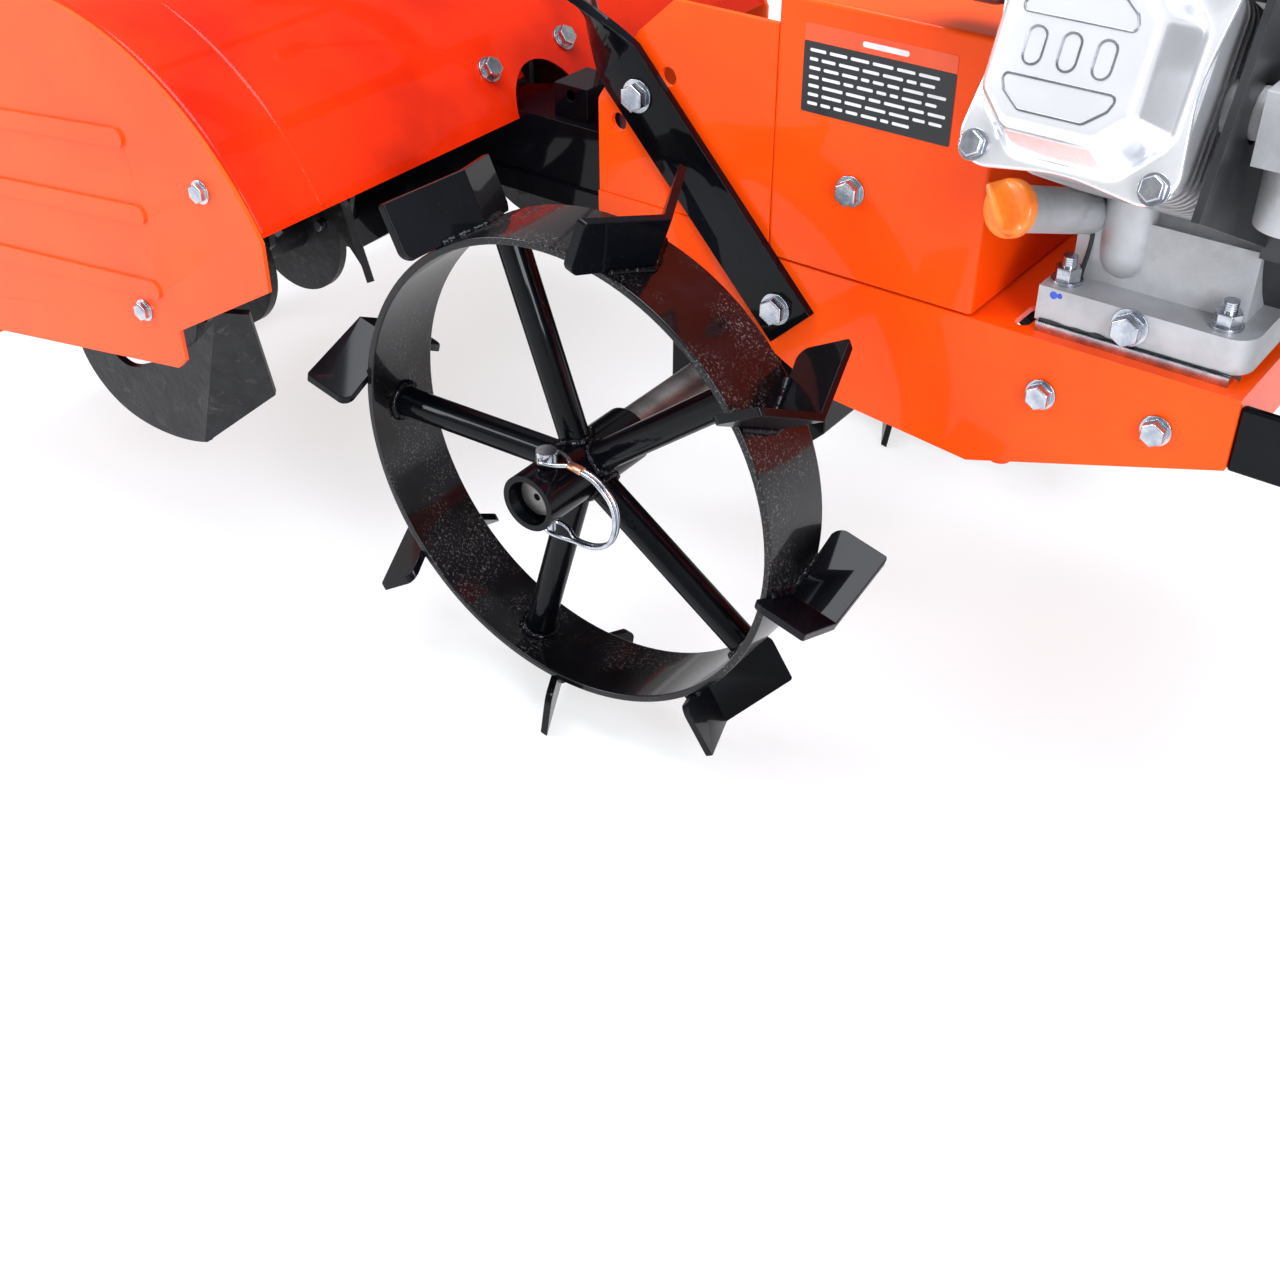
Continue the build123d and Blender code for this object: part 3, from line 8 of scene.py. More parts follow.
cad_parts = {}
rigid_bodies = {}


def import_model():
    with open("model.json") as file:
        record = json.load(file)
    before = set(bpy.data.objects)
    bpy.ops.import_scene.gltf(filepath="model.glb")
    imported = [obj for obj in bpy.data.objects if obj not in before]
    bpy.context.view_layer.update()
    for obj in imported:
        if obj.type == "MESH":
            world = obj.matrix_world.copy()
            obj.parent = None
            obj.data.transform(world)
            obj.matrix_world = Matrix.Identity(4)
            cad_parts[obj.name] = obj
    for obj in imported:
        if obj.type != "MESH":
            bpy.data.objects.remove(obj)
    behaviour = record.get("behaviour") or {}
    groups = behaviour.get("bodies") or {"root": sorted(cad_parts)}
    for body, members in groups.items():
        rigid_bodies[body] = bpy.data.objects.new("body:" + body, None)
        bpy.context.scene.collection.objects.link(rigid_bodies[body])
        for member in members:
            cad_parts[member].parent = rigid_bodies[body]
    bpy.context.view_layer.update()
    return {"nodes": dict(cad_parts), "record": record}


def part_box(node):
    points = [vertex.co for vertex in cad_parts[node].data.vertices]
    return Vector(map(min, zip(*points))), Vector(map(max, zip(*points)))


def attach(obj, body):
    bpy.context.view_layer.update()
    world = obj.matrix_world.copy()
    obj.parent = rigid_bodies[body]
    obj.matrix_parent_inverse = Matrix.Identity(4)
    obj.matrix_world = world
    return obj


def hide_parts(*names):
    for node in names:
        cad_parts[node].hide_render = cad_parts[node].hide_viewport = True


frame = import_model()
nodes = frame["nodes"]
mm = 0.001
print("frame loaded,", len(nodes), "nodes")


def middle(node):
    low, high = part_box(node)
    return (Vector(low) + Vector(high)) / 2


axleMid = middle("wheel_axle")
wheelMid = Vector((axleMid.x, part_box("wheel_rim_right")[0].y, axleMid.z))  # outer edge of the near rim


def spot(x, y, z):
    # a place in mm from the middle of the axle
    return axleMid + Vector((x, y, z)) * mm


# the camera stands off the near wheel
view = {"toWheel": (566, -682, 568.2), "turn": 36.25, "down": 38.03, "lens": 47.0, "sensor": 36,
        "farthest": 50}
camera = bpy.data.objects.new("camera", bpy.data.cameras.new("camera"))
bpy.context.scene.collection.objects.link(camera)
camera.location = wheelMid + Vector(view["toWheel"]) * mm
camera.rotation_euler = (math.radians(90 - view["down"]), 0, math.radians(view["turn"]))
camera.data.lens = view["lens"]
camera.data.sensor_width = view["sensor"]
camera.data.clip_end = view["farthest"]
bpy.context.scene.camera = camera
bpy.context.scene.view_settings.view_transform = "Standard"  # keeps the enamel as bright as it is


class Sock:
    # one output socket; sums on it add Math nodes
    def __init__(self, tree, socket):
        self.tree = tree
        self.socket = socket

    def add(self, kind, settings=None, values=None, output=0):
        # any node: settings first, then its sockets by name or number
        made = self.tree.nodes.new("ShaderNode" + kind)
        for key, value in (settings or {}).items():
            setattr(made, key, value)
        for key, value in (values or {}).items():
            if isinstance(value, Sock):
                self.tree.links.new(value.socket, made.inputs[key])
            elif isinstance(value, tuple) and len(value) == 3 and made.inputs[key].type == "RGBA":
                made.inputs[key].default_value = (*value, 1)
            else:
                made.inputs[key].default_value = value
        return Sock(self.tree, made.outputs[output])

    def sum(self, operation, first, second):
        return self.add("Math", {"operation": operation}, {0: first, 1: second})

    def __add__(self, other):
        return self.sum("ADD", self, other)

    def __radd__(self, other):
        return self.sum("ADD", other, self)

    def __mul__(self, other):
        return self.sum("MULTIPLY", self, other)

    def __rmul__(self, other):
        return self.sum("MULTIPLY", other, self)

    def between(self, low, high):
        # 0 below low, 1 above high
        return self.add("MapRange", {"interpolation_type": "SMOOTHSTEP"},
                        {"Value": self, "From Min": low, "From Max": high})

    def noise(self, size, detail=3.0, rough=0.55, twist=0.0):
        # size is the width of a lump in mm
        return self.add("TexNoise", None, {"Vector": self, "Scale": 1000 / size, "Detail": detail,
                                           "Roughness": rough, "Distortion": twist})

    def cells(self, size):
        # distance from the nearest of many scattered points, size apart in mm
        return self.add("TexVoronoi", None, {"Vector": self, "Scale": 1000 / size})

    def blend(self, low, high):
        # colour between two, by this value
        return self.add("Mix", {"data_type": "RGBA"}, {0: self, 6: low, 7: high}, output=2)


def newFinish(name, metallic=0.0, coat=0.0, coatRough=0.03, gloss=0.5):
    finish = bpy.data.materials.new(name)
    finish.use_nodes = True
    tree = finish.node_tree
    shader = tree.nodes["Principled BSDF"]
    shader.inputs["Metallic"].default_value = metallic
    shader.inputs["Coat Weight"].default_value = coat
    shader.inputs["Coat Roughness"].default_value = coatRough
    shader.inputs["Specular IOR Level"].default_value = gloss
    place = tree.nodes.new("ShaderNodeTexCoord")
    return finish, shader, Sock(tree, place.outputs["Object"])


def join(shader, socketName, value):
    if isinstance(value, Sock):
        value.tree.links.new(value.socket, shader.inputs[socketName])
    elif isinstance(value, tuple):
        shader.inputs[socketName].default_value = (*value, 1)
    else:
        shader.inputs[socketName].default_value = value


def bumps(shader, height, depth):
    # depth in mm
    made = height.add("Bump", None, {"Height": height, "Distance": depth * mm})
    join(shader, "Normal", made)


# what every coat of enamel shares; sizes and depth in mm
spray = {"cloudEdges": (0.35, 0.68), "cloudRough": 0.04, "nibEdges": (0.16, 0.05), "nibTall": 0.5,
         "patchSize": 46, "patchEdges": (0.42, 0.62), "dustSize": 1.7, "dustFade": 0.12, "dustRough": 0.5,
         "runSize": 70, "depth": 0.35}


def enamel(name, look):
    # sprayed gloss enamel: orange peel, dust nibs, slow shifts of shade
    finish, shader, place = newFinish(name, coat=look["coat"], coatRough=look["coatRough"],
                                      gloss=look["gloss"])
    slow = place.noise(look["cloud"], 4, 0.6).between(*spray["cloudEdges"])
    base = slow.blend(look["deep"], look["light"])
    nibs = place.cells(look["nibSize"]).between(*spray["nibEdges"])
    patch = place.noise(spray["patchSize"]).between(*spray["patchEdges"])
    nibs = nibs * patch * look["nibs"]
    grains = place.noise(spray["dustSize"], 2, 0.7)
    dust = grains.between(look["dustFrom"], look["dustFrom"] + spray["dustFade"]) * patch * look["dust"]
    join(shader, "Base Color", dust.blend(base, look["dustShade"]))
    join(shader, "Roughness", look["rough"] + slow * spray["cloudRough"] + dust * spray["dustRough"])
    peel = place.noise(look["peelSize"], 2, 0.5) * look["peel"]
    runs = place.noise(spray["runSize"], 2, 0.5) * look["wave"]
    bumps(shader, peel + runs + nibs * spray["nibTall"], spray["depth"])
    return finish


looks = {
    "black": {"deep": (0.001, 0.0011, 0.0018), "light": (0.0022, 0.0026, 0.0045), "cloud": 60, "rough": 0.3,
              "gloss": 0.03, "coat": 0.28, "coatRough": 0.04, "peelSize": 5.0, "peel": 0.12, "wave": 1.2,
              "dustFrom": 0.66, "nibSize": 3.4, "nibs": 0.9, "dust": 0.22, "dustShade": (0.10, 0.095, 0.10)},
    "rim": {"deep": (0.0012, 0.0012, 0.0016), "light": (0.004, 0.0042, 0.006), "cloud": 45, "rough": 0.34,
            "gloss": 0.1, "coat": 0.45, "coatRough": 0.07, "peelSize": 3.2, "peel": 0.26, "wave": 1.0,
            "dustFrom": 0.55, "nibSize": 2.2, "nibs": 1.2, "dust": 0.65, "dustShade": (0.13, 0.115, 0.105)},
    "chassis": {"deep": (0.95, 0.066, 0.0007), "light": (1.0, 0.086, 0.0012), "cloud": 150, "rough": 0.42,
                "gloss": 0.12, "coat": 0.26, "coatRough": 0.06, "peelSize": 4.5, "peel": 0.08, "wave": 2.2,
                "dustFrom": 0.68, "nibSize": 5, "nibs": 0.3, "dust": 0.05, "dustShade": (1.0, 0.3, 0.1)},
    "hood": {"deep": (0.46, 0.010, 0.0004), "light": (0.72, 0.024, 0.0008), "cloud": 170, "rough": 0.4,
             "gloss": 0.06, "coat": 0.28, "coatRough": 0.05, "peelSize": 4.5, "peel": 0.08, "wave": 2.0,
             "dustFrom": 0.68, "nibSize": 5, "nibs": 0.3, "dust": 0.05, "dustShade": (1.0, 0.2, 0.08)},
    "panel": {"deep": (1.0, 0.066, 0.004), "light": (1.0, 0.09, 0.007), "cloud": 190, "rough": 0.42,
              "gloss": 0.2, "coat": 0.3, "coatRough": 0.10, "peelSize": 4.5, "peel": 0.08, "wave": 2.2,
              "dustFrom": 0.68, "nibSize": 5, "nibs": 0.3, "dust": 0.05, "dustShade": (1.0, 0.35, 0.16)},
}
blackEnamel = enamel("blackEnamel", looks["black"])
rimEnamel = enamel("rimEnamel", looks["rim"])
frameOrange = enamel("frameOrange", looks["chassis"])
hoodOrange = enamel("hoodOrange", looks["hood"])
panelOrange = enamel("panelOrange", looks["panel"])


# what every bare metal shares; depth in mm
bare = {"cloudEdges": (0.3, 0.7), "stainEdges": (0.56, 0.72), "stainRough": 0.15, "depth": 0.3}


def metalFinish(name, look):
    # bare or plated metal: fine grain, slow shifts of shade, stains
    finish, shader, place = newFinish(name, metallic=look["metal"])
    slow = place.noise(look["cloud"], 4, 0.6).between(*bare["cloudEdges"])
    fine = place.noise(look["grain"], 2, 0.6)
    base = slow.blend(look["deep"], look["light"])
    stain = place.noise(look["stainSize"], 5, 0.65, 0.4).between(*bare["stainEdges"]) * look["stain"]
    join(shader, "Base Color", stain.blend(base, look["stainShade"]))
    join(shader, "Roughness", look["rough"] + fine * look["roughSpread"] + stain * bare["stainRough"])
    bumps(shader, fine * look["grainDepth"] + slow * look["wave"], bare["depth"])
    return finish


metals = {
    "zinc": {"metal": 1.0, "deep": (0.34, 0.37, 0.43), "light": (0.60, 0.62, 0.65), "cloud": 9, "grain": 0.8,
             "stainSize": 7, "stain": 0.35, "stainShade": (0.42, 0.38, 0.40), "rough": 0.16,
             "roughSpread": 0.16, "grainDepth": 0.08, "wave": 0.1},
    "casting": {"metal": 0.6, "deep": (0.43, 0.435, 0.45), "light": (0.56, 0.565, 0.58), "cloud": 40,
                "grain": 0.9, "stainSize": 26, "stain": 0.35, "stainShade": (0.25, 0.24, 0.225),
                "rough": 0.42, "roughSpread": 0.25, "grainDepth": 0.55, "wave": 0.2},
    "pressing": {"metal": 0.7, "deep": (0.88, 0.885, 0.90), "light": (0.95, 0.955, 0.965), "cloud": 50,
                 "grain": 1.2, "stainSize": 40, "stain": 0.06, "stainShade": (0.6, 0.62, 0.64),
                 "rough": 0.14, "roughSpread": 0.10, "grainDepth": 0.03, "wave": 0.25},
    "oiled": {"metal": 1.0, "deep": (0.20, 0.19, 0.185), "light": (0.36, 0.35, 0.34), "cloud": 20,
              "grain": 0.7, "stainSize": 12, "stain": 0.5, "stainShade": (0.08, 0.06, 0.045), "rough": 0.3,
              "roughSpread": 0.2, "grainDepth": 0.1, "wave": 0.1},
    "copper": {"metal": 1.0, "deep": (0.55, 0.24, 0.15), "light": (0.72, 0.40, 0.27), "cloud": 5, "grain": 0.7,
               "stainSize": 5, "stain": 0.3, "stainShade": (0.3, 0.18, 0.14), "rough": 0.25,
               "roughSpread": 0.2, "grainDepth": 0.1, "wave": 0.1},
    # dark metal for the pressed grooves: painted shade, not a colour the cover has
    "shade": {"metal": 0.9, "deep": (0.16, 0.165, 0.18), "light": (0.24, 0.245, 0.26), "cloud": 20,
              "grain": 1.0, "stainSize": 10, "stain": 0.1, "stainShade": (0.1, 0.1, 0.1), "rough": 0.35,
              "roughSpread": 0.1, "grainDepth": 0.05, "wave": 0.1},
    "tine": {"metal": 0.35, "deep": (0.005, 0.0052, 0.006), "light": (0.014, 0.0145, 0.017), "cloud": 16,
             "grain": 1.4, "stainSize": 14, "stain": 0.6, "stainShade": (0.085, 0.075, 0.068), "rough": 0.33,
             "roughSpread": 0.25, "grainDepth": 0.5, "wave": 0.9},
}
zinc = metalFinish("zinc", metals["zinc"])
casting = metalFinish("castAluminium", metals["casting"])
pressing = metalFinish("brightPressing", metals["pressing"])
oiledSteel = metalFinish("oiledSteel", metals["oiled"])
tineSteel = metalFinish("tineSteel", metals["tine"])
copper = metalFinish("copperSleeve", metals["copper"])
pressedShade = metalFinish("pressedShade", metals["shade"])


# what every plastic, rubber and print shares; sizes and depth in mm
handled = {"coatRough": 0.12, "cloudEdges": (0.3, 0.7), "scuffSize": 3.5, "scuffEdges": (0.62, 0.75),
           "scuffRough": 0.3, "depth": 0.3}


def moulded(name, look):
    # plastic, rubber or print: fine moulding grain and light scuffs
    finish, shader, place = newFinish(name, coat=look["coat"], coatRough=handled["coatRough"])
    slow = place.noise(look["cloud"]).between(*handled["cloudEdges"])
    scuffs = place.noise(handled["scuffSize"], 4, 0.7, 1.2).between(*handled["scuffEdges"]) * look["scuff"]
    join(shader, "Base Color", scuffs.blend(slow.blend(look["deep"], look["light"]), look["scuffShade"]))
    join(shader, "Roughness", look["rough"] + scuffs * handled["scuffRough"])
    bumps(shader, place.noise(look["grain"], 2, 0.6) * look["depth"], handled["depth"])
    return finish


mouldings = {
    "cap": {"deep": (0.80, 0.14, 0.006), "light": (0.96, 0.24, 0.016), "cloud": 14, "scuff": 0.25,
            "scuffShade": (1.0, 0.55, 0.2), "rough": 0.36, "grain": 0.8, "depth": 0.25, "coat": 0.35},
    "plastic": {"deep": (0.010, 0.010, 0.012), "light": (0.022, 0.022, 0.025), "cloud": 40, "scuff": 0.2,
                "scuffShade": (0.10, 0.10, 0.105), "rough": 0.38, "grain": 0.7, "depth": 0.4, "coat": 0.15},
    "satin": {"deep": (0.010, 0.010, 0.012), "light": (0.020, 0.020, 0.023), "cloud": 40, "scuff": 0.2,
              "scuffShade": (0.09, 0.09, 0.095), "rough": 0.28, "grain": 2.2, "depth": 0.2, "coat": 0.5},
    "bluePaint": {"deep": (0.02, 0.06, 0.42), "light": (0.04, 0.10, 0.60), "cloud": 3, "scuff": 0.2,
                  "scuffShade": (0.2, 0.25, 0.6), "rough": 0.4, "grain": 1.0, "depth": 0.1, "coat": 0.2},
    "labelBlack": {"deep": (0.006, 0.006, 0.008), "light": (0.011, 0.011, 0.014), "cloud": 30, "scuff": 0.1,
                   "scuffShade": (0.05, 0.05, 0.055), "rough": 0.42, "grain": 2.0, "depth": 0.06, "coat": 0.2},
    "labelRed": {"deep": (0.86, 0.075, 0.012), "light": (0.92, 0.095, 0.018), "cloud": 30, "scuff": 0.1,
                 "scuffShade": (0.9, 0.2, 0.1), "rough": 0.42, "grain": 2.0, "depth": 0.06, "coat": 0.2},
    "labelWhite": {"deep": (0.75, 0.75, 0.76), "light": (0.86, 0.86, 0.87), "cloud": 8, "scuff": 0.2,
                   "scuffShade": (0.6, 0.6, 0.6), "rough": 0.5, "grain": 1.0, "depth": 0.05, "coat": 0.1},
    "rubber": {"deep": (0.010, 0.010, 0.010), "light": (0.025, 0.025, 0.024), "cloud": 20, "scuff": 0.5,
               "scuffShade": (0.07, 0.07, 0.068), "rough": 0.62, "grain": 0.6, "depth": 0.7, "coat": 0.0},
}
capPlastic = moulded("capPlastic", mouldings["cap"])
blackPlastic = moulded("blackPlastic", mouldings["plastic"])
satinBlack = moulded("satinBlack", mouldings["satin"])
softRubber = moulded("softRubber", mouldings["rubber"])
bluePaint = moulded("bluePaint", mouldings["bluePaint"])
labelBlack = moulded("labelBlack", mouldings["labelBlack"])
labelRed = moulded("labelRed", mouldings["labelRed"])
labelWhite = moulded("labelWhite", mouldings["labelWhite"])
print("finishes mixed")

slotFinish = {"black_paint": blackEnamel, "frame_orange": frameOrange, "hood_orange": hoodOrange,
              "panel_orange": panelOrange, "zinc_plate": zinc, "ground_steel": oiledSteel,
              "tine_steel": tineSteel, "cast_aluminium": casting, "pressed_cover": pressing,
              "cap_plastic": capPlastic, "black_plastic": blackPlastic, "black_steel": satinBlack,
              "belt_rubber": softRubber}
nodeSlot = {row["node"]: row["material_slot"] for row in frame["record"]["subparts"]}


def dress(thing, finish):
    thing.data.materials.clear()
    thing.data.materials.append(finish)


ownFinish = {"wheel_rim_right": rimEnamel, "wheel_rim_left": rimEnamel, "rotor_flanges": tineSteel,
             "rotor_shaft": tineSteel}
for name, node in nodes.items():
    dress(node, ownFinish.get(name, slotFinish[nodeSlot[name]]))


def addPiece(name, shape, body, slot, finish=None, replaced=(), sharp=34):
    # the bmesh becomes a piece on its body; faces that meet at more than sharp degrees keep a hard edge
    bmesh.ops.recalc_face_normals(shape, faces=shape.faces)
    mesh = bpy.data.meshes.new(name)
    shape.to_mesh(mesh)
    shape.free()
    for face in mesh.polygons:
        face.use_smooth = True
    mesh.set_sharp_from_angle(angle=math.radians(sharp))
    piece = bpy.data.objects.new(name, mesh)
    bpy.context.scene.collection.objects.link(piece)
    dress(piece, finish or slotFinish[slot])
    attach(piece, body)
    if replaced:
        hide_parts(*replaced)
    return piece


# merge in mm, flat and sharp in degrees
easing = {"merge": 0.01, "flat": 0.6, "sharp": 32, "steps": 2}


def softenEdges(piece, width):
    # a small radius on every real edge, so that it catches the light
    bevel = piece.modifiers.new("edgeRadius", "BEVEL")
    bevel.width = width * mm
    bevel.segments = easing["steps"]
    bevel.limit_method = "ANGLE"
    bevel.angle_limit = math.radians(easing["sharp"])
    bevel.harden_normals = True


# radius in mm on the edges of each node
edgeRadius = {
    "chassis_pan": 1.6, "tower_plates": 1.4, "belt_cover": 2.6, "front_bumper": 2.0, "braces": 1.6,
    "drive_beam": 3.0, "gearbox_case_right": 3.0, "gearbox_case_left": 3.0, "hood_saddle": 1.5,
    "tine_hood": 1.1, "side_panels": 1.2, "rear_flap": 0.9, "wheel_rim_right": 1.1, "wheel_rim_left": 1.1,
    "wheel_lugs_right": 1.0, "wheel_lugs_left": 1.0, "wheel_spider_right": 0.8, "wheel_spider_left": 0.8,
    "engine_block": 1.4, "cylinder_head": 0.9, "engine_fasteners": 0.35, "frame_bolts": 0.3,
    "guard_bolts": 0.3, "tine_bolts": 0.4, "lock_pins": 0.7, "rotor_tines": 0.7, "rotor_flanges": 0.8,
    "fan_shroud": 1.6, "carburettor": 1.6, "tank_brackets": 0.8, "skid_socket": 1.2, "depth_skid": 1.2,
    "hand_lever_right": 0.8, "hand_lever_left": 0.8, "lever_clamps": 0.8, "throttle_lever": 0.8,
    "crankshaft": 0.8, "crank_pulley": 0.7, "driven_pulley": 0.7, "pull_handle": 1.0,
}
bodyOf = {name: node.parent.name.split(":")[-1] for name, node in nodes.items()}
for name, width in edgeRadius.items():
    shape = bmesh.new()
    shape.from_mesh(nodes[name].data)
    bmesh.ops.remove_doubles(shape, verts=shape.verts, dist=easing["merge"] * mm)
    bmesh.ops.dissolve_limit(shape, angle_limit=math.radians(easing["flat"]), verts=shape.verts,
                             edges=shape.edges)
    piece = addPiece(name + "_eased", shape, bodyOf[name], nodeSlot[name], nodes[name].data.materials[0],
                     [name])
    softenEdges(piece, width)
print("edges eased on", len(edgeRadius), "nodes")


def around(sides):
    # evenly spaced angles on a circle
    return [2 * math.pi * k / sides for k in range(sides)]


def loft(shape, rings, startCap=True):
    # skins a row of rings and caps the ends
    made = [[shape.verts.new(point) for point in ring] for ring in rings]
    count = len(made[0])
    for low, high in zip(made, made[1:]):
        for i in range(count):
            j = (i + 1) % count
            shape.faces.new((low[i], low[j], high[j], high[i]))
    if startCap:
        shape.faces.new(made[0][::-1])
    shape.faces.new(made[-1])


def tubeAlong(shape, points, radius, sides=8):
    # radius in metres, or a function of the point's number
    up = Vector((0.31, 0.22, 0.92)).normalized()
    rings = []
    for i, point in enumerate(points):
        along = (points[min(i + 1, len(points) - 1)] - points[max(i - 1, 0)]).normalized()
        side = along.cross(up).normalized()
        up = side.cross(along).normalized()
        size = radius(i) if callable(radius) else radius
        rings.append([point + (side * math.cos(t) + up * math.sin(t)) * size for t in around(sides)])
    loft(shape, rings)


def smoothLine(points, steps=8):
    # a curve through every point
    line = []
    for i in range(len(points) - 1):
        before, start = points[max(i - 1, 0)], points[i]
        end, after = points[i + 1], points[min(i + 2, len(points) - 1)]
        for k in range(steps):
            t = k / steps
            bend = 2 * before - 5 * start + 4 * end - after
            twist = 3 * start - before - 3 * end + after
            line.append(0.5 * (2 * start + (end - before) * t + bend * t * t + twist * t * t * t))
    return line + [points[-1]]


# bead sizes, the pitch of the scallops and how far beads stand off the walls, in mm
welds = {"spokeSize": 3.1, "hubSize": 2.8, "lugSize": 2.9, "pitch": 3.4, "least": 0.72, "scallop": 0.3,
         "lump": 0.5, "lumpScale": 190, "spokeOff": 0.8, "rimFillet": 1.2, "hubFillet": 0.4, "lugOff": 0.6,
         "lugLift": 0.3, "lugHalf": 27, "ringSteps": 59, "lugSteps": 48}


def weldBead(shape, points, size):
    # scalloped run of weld metal along the points
    travelled = [0.0]
    for a, b in zip(points, points[1:]):
        travelled.append(travelled[-1] + (b - a).length / mm)

    def lumpy(i):
        scallop = abs(math.sin(math.pi * travelled[i] / welds["pitch"]))
        lump = noise.noise(points[i] * welds["lumpScale"])
        return size * mm * (welds["least"] + welds["scallop"] * scallop + welds["lump"] * lump)

    tubeAlong(shape, points, lumpy)


wheel = {"rimRadius": 160, "rimInside": 155, "plane": 236, "spokeRadius": 10, "spokes": 5, "firstSpoke": 38,
         "hubRadius": 19, "lugs": (116, 70, 28, -14, -55, -99, -146, 166), "lugSweep": 25 / 48, "lugWall": 5.6}


def roundSpoke(angle, side, reach, radius):
    # ring where a spoke meets a drum of the given reach from the axle
    out = Vector((math.cos(angle), 0, math.sin(angle)))
    across = Vector((-math.sin(angle), 0, math.cos(angle)))
    ring = []
    for k in range(welds["ringSteps"] + 1):
        turn = 2 * math.pi * k / welds["ringSteps"]
        off = radius * math.sin(turn)
        ring.append(spot(0, side * wheel["plane"] + radius * math.cos(turn), 0)
                    + (out * math.sqrt(reach ** 2 - off ** 2) + across * off) * mm)
    return ring


for side, name in ((-1, "right"), (1, "left")):
    shape = bmesh.new()
    for i in range(wheel["spokes"]):
        angle = math.radians(wheel["firstSpoke"] + 360 / wheel["spokes"] * i)
        weldBead(shape, roundSpoke(angle, side, wheel["rimInside"] - welds["spokeOff"],
                                   wheel["spokeRadius"] + welds["rimFillet"]), welds["spokeSize"])
        weldBead(shape, roundSpoke(angle, side, wheel["hubRadius"] + welds["spokeOff"],
                                   wheel["spokeRadius"] + welds["hubFillet"]), welds["hubSize"])
    for lug in wheel["lugs"]:
        for face in (-welds["lugOff"], wheel["lugWall"] + welds["lugOff"]):
            points = []
            for k in range(welds["lugSteps"] + 1):
                acrossRim = -welds["lugHalf"] + 2 * welds["lugHalf"] * k / welds["lugSteps"]
                angle = math.radians(lug) + (wheel["lugSweep"] * abs(acrossRim) + face) / wheel["rimRadius"]
                reach = wheel["rimRadius"] + welds["lugLift"]
                points.append(spot(reach * math.cos(angle), side * wheel["plane"] + acrossRim,
                                   reach * math.sin(angle)))
            weldBead(shape, points, welds["lugSize"])
    addPiece("wheel_welds_" + name, shape, "wheels", "black_paint", blackEnamel, sharp=60)
print("wheels welded")

# the clevis pin's wire bow: two strands from the head, a crimp sleeve, then the pair together
bow = {"wire": 1.5, "sides": 10, "pinInset": 20.5, "hubReach": 56.5}
# one strand, in mm: x, distance from the pair's middle, z
bowRoute = ((0, 0, 24.1), (0, 5.74, 24.1), (3, 8.2, 24.1), (10, 6.56, 24.4), (18, 1.55, 24.4),
            (24, 1.55, 23.5), (38, 1.55, 20), (50, 1.55, 9), (53, 1.55, -6), (48, 1.55, -21),
            (35, 1.55, -29), (20, 1.55, -30), (12, 5, -28), (6.5, 6.2, -27), (2, 5.4, -26.5), (-1, 0, -26.5))
# each ring of the sleeve is its x and how full it is
sleeve = {"rings": ((17.6, 0.86), (18.0, 1.0), (27.6, 1.0), (28.0, 0.86)), "halfWide": 3.7, "halfTall": 2.1,
          "x": 18, "z": 24.3, "slope": 0.10, "sides": 20}
for side, name in ((-1, "right"), (1, "left")):
    pinY = side * (wheel["plane"] + bow["hubReach"] - bow["pinInset"])
    shape = bmesh.new()
    for lane in (-1, 1):
        points = [spot(x, pinY + lane * out, z) for x, out, z in bowRoute]
        tubeAlong(shape, smoothLine(points), bow["wire"] * mm, bow["sides"])
    addPiece("lock_wire_" + name, shape, "bow_" + name, "zinc_plate", None, ["lock_bow_" + name], 60)
    shape = bmesh.new()
    sleeveRings = []
    for x, full in sleeve["rings"]:
        z = sleeve["z"] - sleeve["slope"] * (x - sleeve["x"])
        sleeveRings.append([spot(x, pinY + sleeve["halfWide"] * full * math.cos(t),
                                 z + sleeve["halfTall"] * full * math.sin(t)) for t in around(sleeve["sides"])])
    loft(shape, sleeveRings)
    addPiece("crimp_sleeve_" + name, shape, "bow_" + name, "zinc_plate", copper, sharp=50)
print("lock bows bent")


def roundedOutline(corners, steps=6):
    # each corner is x, y and its radius
    outline = []
    for i, (x, y, rounding) in enumerate(corners):
        here = Vector((x, y))
        before = Vector(corners[i - 1][:2]) - here
        after = Vector(corners[(i + 1) % len(corners)][:2]) - here
        half = before.angle(after) / 2
        reach = min(rounding / math.tan(half), 0.48 * before.length, 0.48 * after.length)
        radius = reach * math.tan(half)
        centre = here + (before.normalized() + after.normalized()).normalized() * (radius / math.sin(half))
        start = here + before.normalized() * reach - centre
        end = here + after.normalized() * reach - centre
        first = math.atan2(start.y, start.x)
        sweep = (math.atan2(end.y, end.x) - first + math.pi) % (2 * math.pi) - math.pi
        for k in range(steps + 1):
            turn = first + sweep * k / steps
            outline.append(centre + Vector((math.cos(turn), math.sin(turn))) * radius)
    return outline


# the cylinder leans out over the near side, away from the crankshaft
crank = middle("crank_pulley")
cylinderX = middle("cylinder_head").x
lean = math.radians(25)
cylinderWay = Vector((0, -math.cos(lean), math.sin(lean)))
cylinderUp = Vector((0, math.sin(lean), math.cos(lean)))


def facing(reach, outline):
    # stands an outline across the cylinder, reach mm out from the crankshaft
    foot = Vector((cylinderX, crank.y, crank.z))
    return [foot + (cylinderWay * reach + Vector((x, 0, 0)) + cylinderUp * up) * mm for x, up in outline]


cover = {"seat": 215, "flange": 4, "rise": 34, "halfWide": 44, "halfTall": 43, "cut": 19, "corner": 11,
         "cutShrink": 0.586, "cornerShrink": 0.4, "leastCorner": 3, "flangeHalfWide": 55.7,
         "flangeHalfTall": 55.2, "flangeCorner": 15, "waist": 8, "waistCorner": 90, "draft": 14,
         "line": 0.75, "lineSink": 0.25, "slots": (-16, 0, 16), "slotHalfWide": 4.2, "slotHalfTall": 8}


